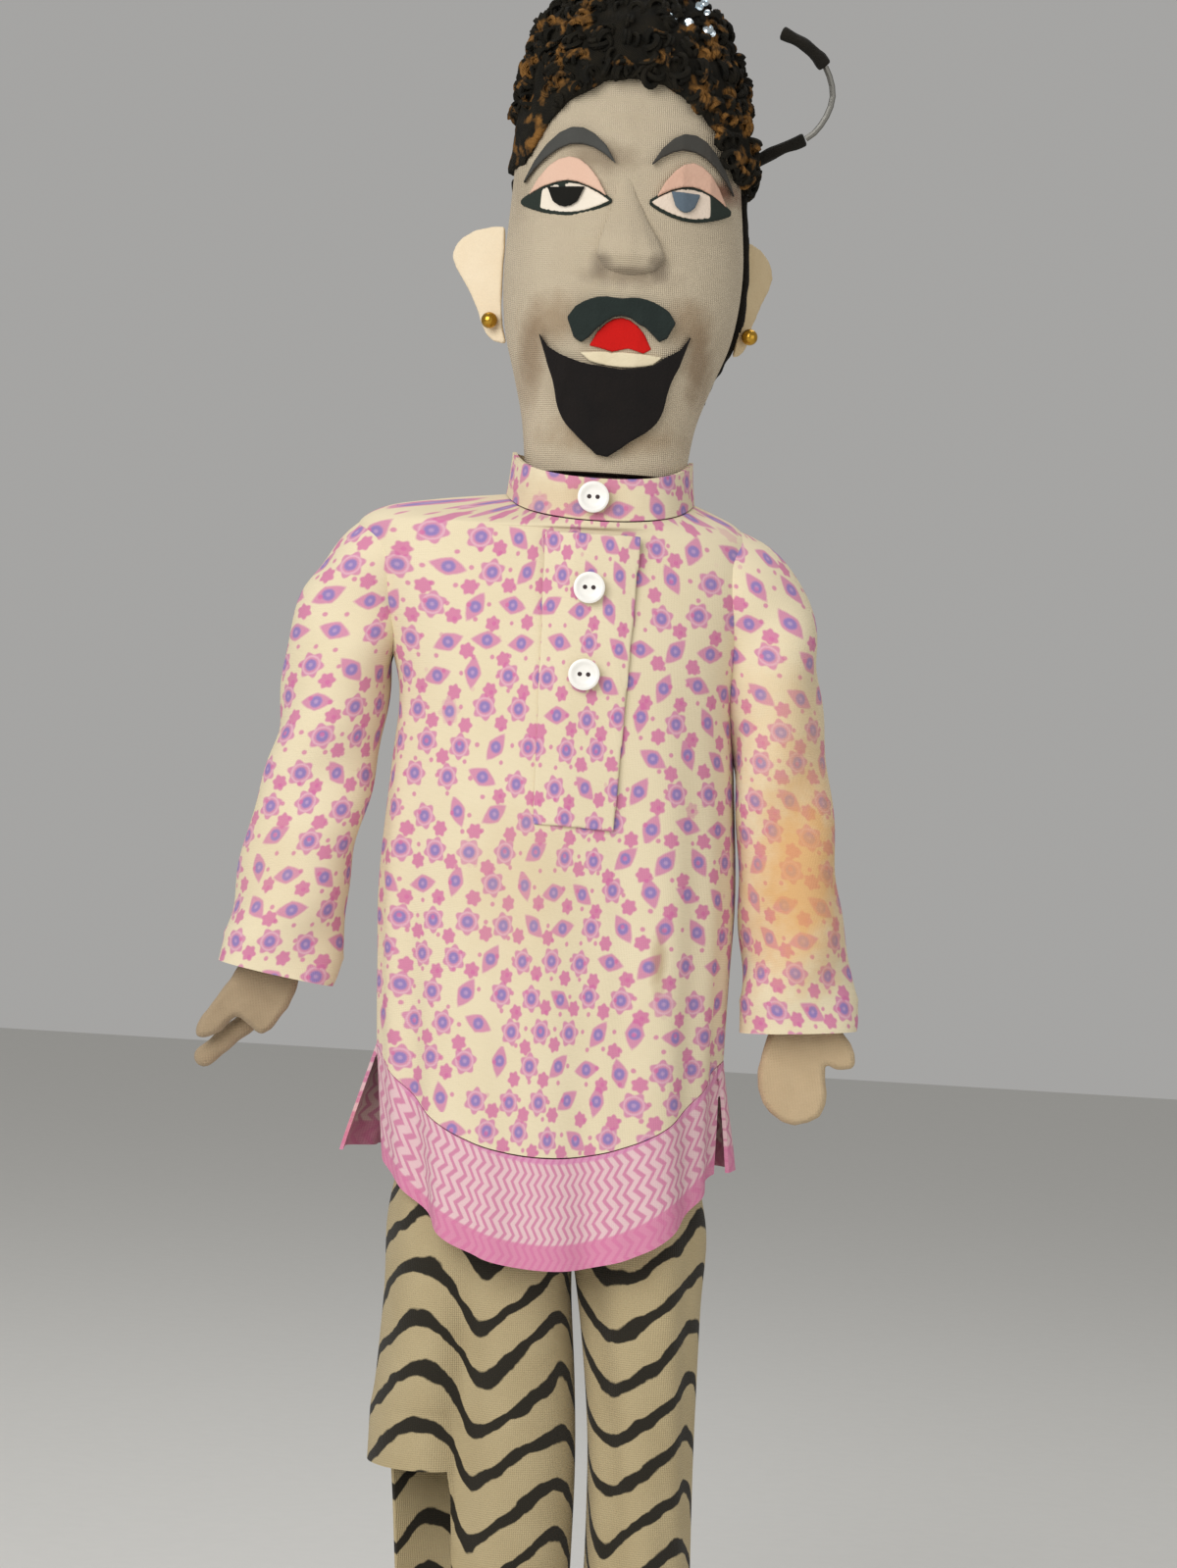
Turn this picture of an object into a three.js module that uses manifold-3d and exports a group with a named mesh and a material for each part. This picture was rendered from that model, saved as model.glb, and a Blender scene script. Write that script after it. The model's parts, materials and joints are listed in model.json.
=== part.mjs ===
// A stuffed cloth string puppet of a bearded man in a printed kurta and wave-striped trousers.
// Millimetres, +Z up, the face looks along -Y and the puppet's own left hand is at +X.
// The origin is the hanging point at the crown of the hair.
import * as THREE from 'three';
import { mergeVertices } from 'three/addons/utils/BufferGeometryUtils.js';
import Module from 'manifold-3d';

const wasm = await Module();
wasm.setup();

// Driving dimensions
const SEAT_GAP = 0.4;
const CLOTH_WALL = 1.3;
const FELT_THICKNESS = 1.3;
const HEAD_SIDES = 22;
const BODY_SIDES = 24;
const SLEEVE_SIDES = 16;
const LEG_SIDES = 18;
const LIMB_SIDES = 12;
const BUTTON_RADIUS = 5.7;
const BUTTON_THICKNESS = 2.4;
const STUD_RADIUS = 3;
const COLLAR_HEIGHT = 16;
const HEM_Z = -430;
const FRONT_HEM_DROP = 36;
const HAND_THICKNESS = 8;
const FINGER_RADIUS = 4;
const WIRE_RADIUS = 1.1;
const WRAP_RADIUS = 2.6;
const HAIR_THICKNESS = 5.6;
const ARM_RADIUS = 8.5;
const FOREARM_RADIUS = 9;
const THIGH_RADIUS = 14;
const SHIN_RADIUS = 12;
const ANKLE_RADIUS = 9;

// Sections of the stuffed forms: height, centre x, half width, half depth
const HEAD = [
  [-6, 2, 7, 7], [-11, 2.4, 18, 17], [-22, 2.8, 28, 27], [-38, 3, 35, 34], [-58, 3.2, 39.5, 38],
  [-82, 3.6, 42, 40], [-106, 4, 43.5, 41], [-128, 4, 41.5, 39], [-146, 3.4, 36, 35],
  [-162, 2.6, 31.5, 30.5], [-181, 2, 29, 28],
];
const TORSO = [
  [-189, 1, 6, 6], [-191.5, 1, 13, 12], [-199, 0, 19.5, 17.5], [-207, -4, 34, 22], [-220, -7, 44, 26],
  [-255, -7, 50, 28], [-300, -6, 53, 29], [-370, -5, 52, 29], [-410, -5, 49, 26], [-426, -5, 40, 19],
];
const KURTA = [
  [-189, 1, 34.5, 34.5], [-193, -3, 43, 36], [-202, -6, 50, 37], [-225, -8, 54, 38],
  [-255, -7, 60, 40], [-290, -6.5, 62, 40], [-330, -6, 64, 39.5], [-362, -5.5, 63, 39.5],
  [-390, -5, 62, 40],
];
const SEAT = [[-392, -5, 55, 32], [-420, -5, 57, 33], [-455, -4, 58, 31]];
const RIGHT_LEG = [
  [-456, -27, 33.5, 27], [-480, -26, 34, 27], [-510, -25, 36, 26], [-540, -24.5, 37.5, 25],
];
const LEFT_LEG = [
  [-456, 31.5, 24, 26], [-480, 33, 21.5, 25], [-510, 35, 19.5, 23], [-540, 36.5, 18.5, 21],
  [-575, 38, 18.5, 20], [-604, 39, 19.5, 20],
];

// Sleeve routes in the frontal plane: x, z, half width, half depth
const RIGHT_SLEEVE = [
  [-54, -222, 24, 22], [-73, -236, 21, 21], [-84, -255, 19.5, 20], [-91, -280, 19, 19],
  [-97, -305, 19.5, 18.5], [-101, -330, 20, 18], [-104, -350, 21, 18], [-107, -368, 21.5, 18],
];
const LEFT_SLEEVE = [
  [38, -224, 23, 22], [54, -238, 18.5, 20], [63, -257, 17, 19], [70, -283, 17, 18.5],
  [76, -310, 17.5, 18], [80, -335, 18.5, 18], [82.5, -358, 20, 18], [84, -378, 21.5, 18],
];
const RIGHT_ARM = { shoulder: [-74, -230], elbow: [-94, -301], wrist: [-107, -361] };
const LEFT_ARM = { shoulder: [58, -232], elbow: [73, -304], wrist: [84, -369] };
const RIGHT_LIMB = { hip: [-27, -441], knee: [-18, -520], ankle: [-8, -600] };
const LEFT_LIMB = { hip: [29, -441], knee: [36, -520], ankle: [39, -600] };

const group = new THREE.Group();

function solid(geometry) {
  const bare = geometry.clone();
  bare.deleteAttribute('normal');
  bare.deleteAttribute('uv');
  const merged = mergeVertices(bare, 1e-4);
  return new wasm.Manifold(new wasm.Mesh({
    numProp: 3,
    vertProperties: new Float32Array(merged.attributes.position.array),
    triVerts: new Uint32Array(merged.index.array),
  }));
}

// The largest single body of a cut result, as a geometry
function shape(manifold) {
  const largest = manifold.decompose().sort((a, b) => b.volume() - a.volume())[0];
  const mesh = largest.getMesh();
  const geometry = new THREE.BufferGeometry();
  geometry.setAttribute('position', new THREE.BufferAttribute(mesh.vertProperties, 3));
  geometry.setIndex(new THREE.BufferAttribute(mesh.triVerts, 1));
  return geometry;
}

function piece(name, geometry, colour, roughness = 0.95, metalness = 0) {
  const material = new THREE.MeshStandardMaterial({ color: colour, roughness, metalness });
  const mesh = new THREE.Mesh(geometry, material);
  mesh.name = name;
  group.add(mesh);
  return mesh;
}

// Joins rings of equal point count; a loop of rings closes on itself, a stack gets end caps
function loft(rings, loop = false) {
  const count = rings[0].length;
  const positions = rings.flat().flatMap((point) => point.toArray());
  const index = [];
  const strips = loop ? rings.length : rings.length - 1;
  for (let row = 0; row < strips; row += 1) {
    const next = (row + 1) % rings.length;
    for (let i = 0; i < count; i += 1) {
      const j = (i + 1) % count;
      index.push(row * count + i, row * count + j, next * count + j);
      index.push(row * count + i, next * count + j, next * count + i);
    }
  }
  if (!loop) {
    for (const [row, flip] of [[0, false], [rings.length - 1, true]]) {
      const centre = new THREE.Vector3();
      rings[row].forEach((point) => centre.addScaledVector(point, 1 / count));
      const hub = positions.length / 3;
      positions.push(...centre.toArray());
      for (let i = 0; i < count; i += 1) {
        const a = row * count + i;
        const b = row * count + ((i + 1) % count);
        index.push(hub, flip ? a : b, flip ? b : a);
      }
    }
  }
  let volume = 0;
  for (let i = 0; i < index.length; i += 3) {
    const [a, b, c] = [0, 1, 2].map((k) => new THREE.Vector3().fromArray(positions, index[i + k] * 3));
    volume += a.dot(b.cross(c));
  }
  if (volume < 0) {
    for (let i = 0; i < index.length; i += 3) [index[i], index[i + 1]] = [index[i + 1], index[i]];
  }
  const geometry = new THREE.BufferGeometry();
  geometry.setAttribute('position', new THREE.Float32BufferAttribute(positions, 3));
  geometry.setIndex(index);
  return geometry;
}

// A level ring with slightly squared sides; fold and drop move each point by its angle
function ring([z, cx, a, b], sides, { offset = 0, fold = () => 0, drop = () => 0 } = {}) {
  const points = [];
  for (let i = 0; i < sides; i += 1) {
    const angle = (2 * Math.PI * i) / sides;
    const [c, s] = [Math.cos(angle), Math.sin(angle)];
    const grow = offset + fold(angle, z);
    const x = cx + (a + grow) * Math.sign(c) * Math.abs(c) ** 0.9;
    const y = (b + grow) * Math.sign(s) * Math.abs(s) ** 0.9;
    points.push(new THREE.Vector3(x, y, z - drop(angle, z)));
  }
  return points;
}

function rowAt(table, z) {
  const last = table.length - 1;
  for (let i = 0; i < last; i += 1) {
    if (z <= table[i][0] && z >= table[i + 1][0]) {
      const t = (table[i][0] - z) / (table[i][0] - table[i + 1][0]);
      return table[i].map((value, k) => value + (table[i + 1][k] - value) * t);
    }
  }
  return z > table[0][0] ? table[0] : table[last];
}

function frontY(table, x, z) {
  const [, cx, a, b] = rowAt(table, z);
  const across = Math.min(0.98, Math.abs(x - cx) / a);
  return -b * (1 - across ** 2.2) ** 0.45;
}

function headSolid(offset) {
  const rows = HEAD.map(([z, cx, a, b]) => [z + offset * Math.max(0, (z + 58) / 52), cx, a, b]);
  rows[rows.length - 1][0] -= offset > 0.1 ? 1 : 0;
  return solid(loft(rows.map((row) => ring(row, HEAD_SIDES, { offset }))));
}

// An outline in the frontal plane, pushed through from y0 back to y1
function prism(outline, y0, y1) {
  const face = new THREE.Shape(outline.map(([x, z]) => new THREE.Vector2(x, z)));
  const geometry = new THREE.ExtrudeGeometry(face, { depth: y1 - y0, bevelEnabled: false });
  geometry.rotateX(Math.PI / 2);
  geometry.translate(0, y1, 0);
  return solid(geometry);
}

// The outline between an upper and a lower curve over a span of x
function between(x0, x1, upper, lower, steps = 8) {
  const at = (i) => i / steps;
  const top = Array.from({ length: steps + 1 }, (_, i) => [x0 + (x1 - x0) * at(i), upper(at(i))]);
  const low = Array.from({ length: steps - 1 }, (_, i) => {
    const t = at(steps - 1 - i);
    return [x0 + (x1 - x0) * t, lower(t)];
  });
  return [...low.reverse(), ...top.reverse()];
}

const lerp = (a, b, t) => a + (b - a) * t;
const arch = (t, power = 1) => Math.max(0, Math.sin(Math.PI * t)) ** power;

const skinSolid = headSolid(0);
const seatSolid = headSolid(SEAT_GAP);

// Felt cut to an outline and laid on the head between two depths above its skin
function feltOnHead(outline, under = SEAT_GAP, thickness = FELT_THICKNESS, ...cutters) {
  let felt = prism(outline, -90, -4).intersect(headSolid(under + thickness)).subtract(headSolid(under));
  for (const cutter of cutters) felt = felt.subtract(cutter);
  return shape(felt);
}

piece('head', shape(skinSolid), '#C9B79A');

// The face
const noseRows = [
  [-75, 2.6, 3, 3.5], [-84, 3.4, 5, 6], [-94, 4.6, 8, 9.5], [-102, 5.8, 11.5, 13.5],
  [-109, 6.4, 13, 15], [-114, 6.4, 10, 11.5], [-116.5, 6.4, 5, 6],
];
const noseForm = loft(noseRows.map((row) => ring(row, 12).map((point) => {
  point.y += frontY(HEAD, row[1], row[0]) + 2.5;
  return point;
})));
const noseSolid = solid(noseForm).subtract(seatSolid);
piece('nose', shape(noseSolid), '#C2AE90');

const EYES = {
  right: { outer: -33.4, inner: -2.1, level: -85.6, browOuter: -34, browInner: -0.5, pupil: -18, pupilHalf: 6.8 },
  left: { outer: 41, inner: 12.6, level: -85.2, browOuter: 43, browInner: 11.5, pupil: 24.8, pupilHalf: 5.4 },
};
for (const [side, eye] of Object.entries(EYES)) {
  const [x0, x1] = [Math.min(eye.outer, eye.inner), Math.max(eye.outer, eye.inner)];
  const lidLine = (t) => eye.level + 6.2 * arch(t, 0.9);
  const white = between(x0, x1, lidLine, (t) => eye.level - 4.6 * arch(t, 0.9));
  const lid = between(x0 + 1.5, x1 - 1, (t) => eye.level + 1.2 + 14.4 * arch(t, 0.8), (t) => lidLine(t) + 0.7);
  const [b0, b1] = [Math.min(eye.browOuter, eye.browInner), Math.max(eye.browOuter, eye.browInner)];
  const slope = (t) => (side === 'right' ? lerp(-79.5, -72.5, t) : lerp(-72.5, -79.5, t));
  const brow = between(b0, b1, (t) => slope(t) + 16.5 * arch(t, 0.8), (t) => slope(t) + 10.4 * arch(t, 0.9));
  const pupil = between(eye.pupil - eye.pupilHalf, eye.pupil + eye.pupilHalf,
    () => eye.level + 4.6, (t) => eye.level + 3.6 - 6.4 * arch(t, 0.6), 6);
  piece(`eye_white_${side}`, feltOnHead(white), '#EADFCF');
  piece(`pupil_${side}`, feltOnHead(pupil, SEAT_GAP * 2 + FELT_THICKNESS, 0.9), side === 'right' ? '#15140F' : '#5E6C78');
  const whiteCut = prism(between(x0 - 0.4, x1 + 0.4, (t) => lidLine(t) + 0.5, (t) => eye.level - 5.2 * arch(t, 0.9)), -90, -4);
  piece(`eyelid_${side}`, feltOnHead(lid, SEAT_GAP, 2.2, whiteCut), '#DDB9A3');
  const browCut = prism(between(x0, x1, (t) => eye.level + 1.8 + 15 * arch(t, 0.8), (t) => lidLine(t)), -90, -4);
  piece(`brow_${side}`, feltOnHead(brow, SEAT_GAP, 2.6, browCut), '#4A4A45');
}

const mouthOutline = between(-6.4, 15.9, (t) => -137 + 10.4 * arch(t, 0.75), (t) => -138 + 0.7 * Math.sin(4 * Math.PI * t));
const lipOutline = between(-9.4, 20.3, (t) => -139.4 + 0.8 * arch(t), (t) => -140.4 - 3.6 * arch(t, 0.6));
const grown = (outline, by) => {
  const centre = outline.reduce((sum, [x, z]) => [sum[0] + x / outline.length, sum[1] + z / outline.length], [0, 0]);
  return outline.map(([x, z]) => {
    const reach = Math.hypot(x - centre[0], z - centre[1]);
    return [x + ((x - centre[0]) / reach) * by, z + ((z - centre[1]) / reach) * by];
  });
};
const mouthCut = prism(grown(mouthOutline, 0.6), -90, -4);
const lipCut = prism(grown(lipOutline, 0.6), -90, -4);
piece('mouth', feltOnHead(mouthOutline), '#C8140F');
piece('lower_lip', feltOnHead(lipOutline, SEAT_GAP, 1.8, mouthCut), '#E0D3B4');
const moustacheOutline = between(-14.8, 24,
  (t) => -127.5 + 8.6 * arch(t, 0.5) - 1.3 * Math.exp(-(((t - 0.48) / 0.1) ** 2)),
  (t) => -128.6 - 7.4 * Math.exp(-(((t - 0.14) / 0.13) ** 2)) - 5.6 * Math.exp(-(((t - 0.87) / 0.11) ** 2)), 14);
const noseCut = solid(loft(noseRows.map((row) => ring(row, 12, { offset: 0.7 }).map((point) => {
  point.y += frontY(HEAD, row[1], row[0]) + 2.5;
  return point;
}))));
piece('moustache', feltOnHead(moustacheOutline, SEAT_GAP, 3.8, mouthCut, noseCut), '#2A3230');
const beardOutline = between(-25, 30.2,
  (t) => -132 - 12.8 * arch(t, 0.55) + 1.6 * t,
  (t) => -133 - 43.5 * (1 - Math.abs((t - 0.47) / (t < 0.47 ? 0.47 : 0.53)) ** 1.35) ** 0.9, 14);
const moustacheCut = prism(grown(moustacheOutline, 0.6), -90, -4);
piece('beard', feltOnHead(beardOutline, SEAT_GAP, 2.4, lipCut, moustacheCut), '#141110');

// Hair: a curled cap over the crown and a dark backing down the back of the head
const faceOpening = Array.from({ length: 20 }, (_, i) => {
  const angle = (2 * Math.PI * i) / 20;
  return [3 + 40.5 * Math.cos(angle), -84 + 43 * Math.sin(angle)];
});
const slab = (x0, x1, y0, y1, z0, z1) => {
  const box = new THREE.BoxGeometry(x1 - x0, y1 - y0, z1 - z0);
  box.translate((x0 + x1) / 2, (y0 + y1) / 2, (z0 + z1) / 2);
  return solid(box);
};
const capRows = HEAD.map(([z, cx, a, b]) => [z + HAIR_THICKNESS * Math.max(0, (z + 58) / 52), cx, a, b]);
const capLump = (angle, z) => HAIR_THICKNESS + 1.1 * Math.sin(5 * angle + z / 6) * Math.min(1, (-z) / 20);
const capForm = solid(loft(capRows.map((row) => ring(row, HEAD_SIDES, { fold: capLump }))));
const cap = capForm.subtract(headSolid(SEAT_GAP)).subtract(prism(faceOpening, -90, 2)).subtract(slab(-90, 90, -90, 90, -200, -72));
piece('hair_cap', shape(cap), '#2A241A');
const backing = headSolid(4.2).subtract(headSolid(SEAT_GAP)).intersect(slab(-90, 90, 5, 90, -166, -72.5));
piece('back_hair', shape(backing), '#17140F');

// Ears: flat paddles swept back, each with a small ball stud on its lobe
const EAR_OUTLINE = [[-6, -94], [10, -91], [22, -95], [26, -102], [20, -112], [14, -122], [10, -131], [3, -134], [-6, -129]];
const EAR_THICKNESS = 3;
const EARS = {
  right: { root: -39.5, sign: -1, sweep: 25, colour: '#EAD9BC' },
  left: { root: 46.5, sign: 1, sweep: 55, colour: '#D8C3A0' },
};
for (const [side, ear] of Object.entries(EARS)) {
  const curve = new THREE.CatmullRomCurve3(EAR_OUTLINE.map(([x, z]) => new THREE.Vector3(x, z, 0)), true);
  const face = new THREE.Shape(curve.getPoints(18).slice(0, 18).map((p) => new THREE.Vector2(p.x, p.y)));
  const plate = new THREE.ExtrudeGeometry(face, { depth: EAR_THICKNESS, bevelEnabled: false });
  plate.rotateX(Math.PI / 2);
  plate.translate(0, EAR_THICKNESS / 2, 0);
  const turn = THREE.MathUtils.degToRad(ear.sign > 0 ? ear.sweep : 180 - ear.sweep);
  const place = new THREE.Matrix4().makeTranslation(ear.root, 2, 0).multiply(new THREE.Matrix4().makeRotationZ(turn));
  plate.applyMatrix4(place);
  piece(`ear_${side}`, shape(solid(plate).subtract(headSolid(SEAT_GAP)).subtract(backing.add(capForm))), ear.colour);
  const stud = new THREE.SphereGeometry(STUD_RADIUS, 12, 8);
  const front = ear.sign > 0 ? -1 : 1;
  const spot = new THREE.Vector3(6.5, front * (EAR_THICKNESS / 2 + STUD_RADIUS + 0.3), -126).applyMatrix4(place);
  stud.translate(spot.x, spot.y, spot.z);
  piece(`ear_stud_${side}`, shape(solid(stud)), '#B08A3A', 0.35, 1);
}

// The stiff wire that curls up from the back of the head, wrapped at both ends
const wirePath = new THREE.CatmullRomCurve3([
  [45, 12, -64], [58, 13, -56], [71, 12, -49], [77, 10, -36], [73, 8, -24], [66, 6, -18], [57, 6, -14],
].map((point) => new THREE.Vector3(...point)));
function pathTube(start, end, radius, steps, sides) {
  const points = Array.from({ length: steps + 1 }, (_, i) => wirePath.getPointAt(lerp(start, end, i / steps)));
  const route = new THREE.CatmullRomCurve3(points);
  const circle = new THREE.Shape(Array.from({ length: sides }, (_, i) => {
    const angle = (2 * Math.PI * i) / sides;
    return new THREE.Vector2(radius * Math.cos(angle), radius * Math.sin(angle));
  }));
  return solid(new THREE.ExtrudeGeometry(circle, { steps, extrudePath: route, bevelEnabled: false }));
}
piece('wire_wrap_root', shape(pathTube(0, 0.34, WRAP_RADIUS, 6, 8).subtract(headSolid(HAIR_THICKNESS + 1.6))), '#16140F');
piece('wire_curl', shape(pathTube(0.345, 0.735, WIRE_RADIUS, 8, 8)), '#8C8A84', 0.45, 0.9);
piece('wire_wrap_tip', shape(pathTube(0.74, 1, WRAP_RADIUS, 5, 8)), '#16140F');

// Neck, torso and kurta
const gusset = new THREE.CylinderGeometry(24, 24, 5.4, 20);
gusset.rotateX(Math.PI / 2);
gusset.translate(2, 0, -184.6);
piece('neck_gusset', shape(solid(gusset)), '#4A211C');
piece('torso', shape(solid(loft(TORSO.map((row) => ring(row, 16))))), '#4A211C');

const frontward = (angle) => Math.max(0, -Math.sin(angle));
const kurtaFold = (angle, z) => {
  const loose = THREE.MathUtils.smoothstep(-z, 215, 400);
  return loose * (1.5 * Math.sin(6 * angle + 0.8) + 0.7 * Math.sin(11 * angle));
};
const kurtaDrop = (angle, z) => {
  const hem = THREE.MathUtils.smoothstep(-z, 300, 390) * FRONT_HEM_DROP * frontward(angle) ** 1.5;
  const neck = 10 * (1 - THREE.MathUtils.smoothstep(-z, 189, 205)) * frontward(angle);
  return hem + neck;
};
const kurtaRings = (offset) => KURTA.map((row) => ring(row, BODY_SIDES, { offset, fold: kurtaFold, drop: kurtaDrop }));
const kurtaSolid = (offset) => solid(loft(kurtaRings(offset)));
piece('kurta_body', loft([...kurtaRings(0), ...kurtaRings(-CLOTH_WALL).reverse()], true), '#E8DDC0');

const borderRows = { front: [[-390.5, -5, 62, 40], [HEM_Z, -2, 60, 43]], back: [[-390.5, -5, 62, 40], [HEM_Z, -8, 70, 45]] };
const borderCuts = { front: slab(-120, 120, -90, -5, -600, -300), back: slab(-120, 120, -3.5, 90, -600, -300) };
for (const side of ['front', 'back']) {
  const [top, low] = borderRows[side];
  const middle = top.map((value, k) => (value + low[k]) / 2);
  const fold = (angle, z) => kurtaFold(angle, z) * (1 + 0.7 * THREE.MathUtils.smoothstep(-z, 390, 430));
  const drop = (angle) => FRONT_HEM_DROP * frontward(angle) ** 1.5;
  const rows = [top, middle, low];
  const outer = rows.map((row) => ring(row, BODY_SIDES, { fold, drop }));
  const inner = rows.map((row) => ring(row, BODY_SIDES, { offset: -CLOTH_WALL, fold, drop })).reverse();
  piece(`hem_border_${side}`, shape(solid(loft([...outer, ...inner], true)).intersect(borderCuts[side])), '#C9668F');
}

const collarDrop = (angle) => 10 * frontward(angle);
const collarRow = (z, a) => ring([z, 1, a, a], BODY_SIDES, { drop: collarDrop });
piece('collar', loft([
  collarRow(-189 + COLLAR_HEIGHT, 33), collarRow(-188.5, 34.3), collarRow(-188.5, 32.8), collarRow(-189 + COLLAR_HEIGHT, 31.6),
], true), '#E8DDC0');

const placketOutline = [[-18, -203.5], [16.5, -203.5], [13, -309], [-16, -308]];
const placket = prism(placketOutline, -90, -10).intersect(kurtaSolid(1.6)).subtract(kurtaSolid(SEAT_GAP));
piece('placket', shape(placket), '#E6DABB');

const BUTTONS = { button_collar: [-1.5, -190.5], button_upper: [-1, -223], button_lower: [-1, -254] };
for (const [name, [x, z]] of Object.entries(BUTTONS)) {
  const disc = new THREE.CylinderGeometry(BUTTON_RADIUS, BUTTON_RADIUS, BUTTON_THICKNESS, 18);
  const surface = name === 'button_collar' ? -34.6 : frontY(KURTA, x, z) - 1.8;
  disc.translate(x, surface - BUTTON_THICKNESS / 2 - 0.5, z);
  piece(name, shape(solid(disc)), '#F2EEE2', 0.4);
}

// Sleeves follow each arm; the ring planes turn with the route and the body cuts their upper ends
function sleeveRings(route, offset) {
  return route.map(([x, z, a, b], i) => {
    const [px, pz] = route[Math.max(0, i - 1)];
    const [nx, nz] = route[Math.min(route.length - 1, i + 1)];
    const length = Math.hypot(nx - px, nz - pz);
    const [tx, tz] = [(nx - px) / length, (nz - pz) / length];
    return Array.from({ length: SLEEVE_SIDES }, (_, k) => {
      const angle = (2 * Math.PI * k) / SLEEVE_SIDES;
      const crease = 1.1 * Math.sin(3 * angle + i * 1.9) * Math.min(1, i / 2);
      const u = (a + offset + crease) * Math.cos(angle);
      const v = (b + offset + crease) * Math.sin(angle);
      return new THREE.Vector3(x + u * -tz, v, z + u * tx);
    });
  });
}
const kurtaCut = kurtaSolid(SEAT_GAP);
for (const [side, route] of [['right', RIGHT_SLEEVE], ['left', LEFT_SLEEVE]]) {
  const tube = loft([...sleeveRings(route, 0), ...sleeveRings(route, -CLOTH_WALL).reverse()], true);
  piece(`sleeve_${side}`, shape(solid(tube).subtract(kurtaCut)), '#E8DDC0');
}

// Stuffed limbs: a round top centred on the joint, a swelling middle and a flat lower end
function limb(from, to, radius, middle, low, clear) {
  const [dx, dz] = [to[0] - from[0], to[1] - from[1]];
  const length = Math.hypot(dx, dz);
  const end = length - clear;
  const profile = [
    [0, radius], [radius * 0.5, radius * 0.866], [radius * 0.866, radius * 0.5], [radius, 0],
    [middle, -length * 0.4], [lerp(middle, low, 0.5), -length * 0.7], [low, -end + 3], [low * 0.8, -end], [0, -end],
  ].map(([x, y]) => new THREE.Vector2(x, y)).reverse();
  const form = new THREE.LatheGeometry(profile, LIMB_SIDES);
  form.applyQuaternion(new THREE.Quaternion().setFromUnitVectors(
    new THREE.Vector3(0, -1, 0), new THREE.Vector3(dx / length, 0, dz / length)));
  form.translate(from[0], 0, from[1]);
  return shape(solid(form));
}

// Felt hands, each a stuffed flat mitten with its thumb, drawn in the frontal plane
const HANDS = {
  right: [[-112, -357], [-101, -358], [-98, -370], [-103, -383], [-110, -391], [-116, -387], [-120, -385], [-127, -392],
    [-134, -393], [-133, -387], [-126, -376], [-117, -362]],
  left: [[80, -365], [89, -365], [98, -374], [105, -383], [106, -390], [100, -391], [95, -389], [96.5, -399],
    [94, -409], [84, -412], [75, -407], [71, -396], [73, -383], [77, -371]],
};
const WRISTS = { right: RIGHT_ARM.wrist, left: LEFT_ARM.wrist };
for (const side of ['right', 'left']) {
  const arm = side === 'right' ? RIGHT_ARM : LEFT_ARM;
  piece(`upper_arm_${side}`, limb(arm.shoulder, arm.elbow, ARM_RADIUS, 9.5, 9, FOREARM_RADIUS + 0.5), '#4A211C');
  piece(`forearm_${side}`, limb(arm.elbow, arm.wrist, FOREARM_RADIUS, 9.5, 8.5, 6.5), '#4A211C');
  const curve = new THREE.CatmullRomCurve3(HANDS[side].map(([x, z]) => new THREE.Vector3(x, z, 0)), true);
  const face = new THREE.Shape(curve.getPoints(30).slice(0, 30).map((p) => new THREE.Vector2(p.x, p.y)));
  const mitten = new THREE.ExtrudeGeometry(face, {
    depth: HAND_THICKNESS - 4, bevelEnabled: true, bevelThickness: 2, bevelSize: 1.6, bevelOffset: -1.6, bevelSegments: 1,
  });
  mitten.rotateX(Math.PI / 2);
  mitten.translate(0, HAND_THICKNESS / 2 - 2, 0);
  const top = WRISTS[side][1] + 3;
  const trimmed = solid(mitten).subtract(slab(-200, 200, -20, 20, top, top + 40));
  piece(`hand_${side}`, shape(trimmed), '#CDB591');
}
const roll = new THREE.CapsuleGeometry(FINGER_RADIUS, 24, 4, 10);
roll.applyQuaternion(new THREE.Quaternion().setFromUnitVectors(
  new THREE.Vector3(0, 1, 0), new THREE.Vector3(0.74, 0, 0.67).normalize()));
roll.translate(-122.5, HAND_THICKNESS / 2 + FINGER_RADIUS + 0.4, -392.5);
piece('finger_right', shape(solid(roll)), '#C4A97F');

// Trousers: the seat and two legs of uneven width, the right one with its deep fold
const seatRings = (offset) => SEAT.map((row) => ring(row, BODY_SIDES, { offset }));
piece('trouser_seat', loft([...seatRings(0), ...seatRings(-CLOTH_WALL).reverse()], true), '#B5A37A');
const foldLine = (angle) => Math.exp(-(((angle - 4.62) / 0.2) ** 2));
const rightFold = (angle, z) => -7 * foldLine(angle) * THREE.MathUtils.smoothstep(-z, 456, 510) + 0.8 * Math.sin(5 * angle);
const RIGHT_LEG_LONG = [...RIGHT_LEG, [-570, -24.5, 38, 24], [-604, -24.5, 38, 24]];
const shortOuter = (angle) => (angle > Math.PI * 0.75 && angle < 4.62 ? 61 : 0);
const rightDrop = (angle, z) => -shortOuter(angle) * THREE.MathUtils.smoothstep(-z, 500, 604);
const leftFold = (angle) => 0.8 * Math.sin(4 * angle + 1);
const LEGS = [['right', RIGHT_LEG_LONG, rightFold, rightDrop], ['left', LEFT_LEG, leftFold, () => 0]];
for (const [side, table, fold, drop] of LEGS) {
  const rows = (offset) => table.map((row) => ring(row, LEG_SIDES, { offset, fold, drop }));
  piece(`trouser_leg_${side}`, loft([...rows(0), ...rows(-CLOTH_WALL).reverse()], true), '#B5A37A');
}

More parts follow.
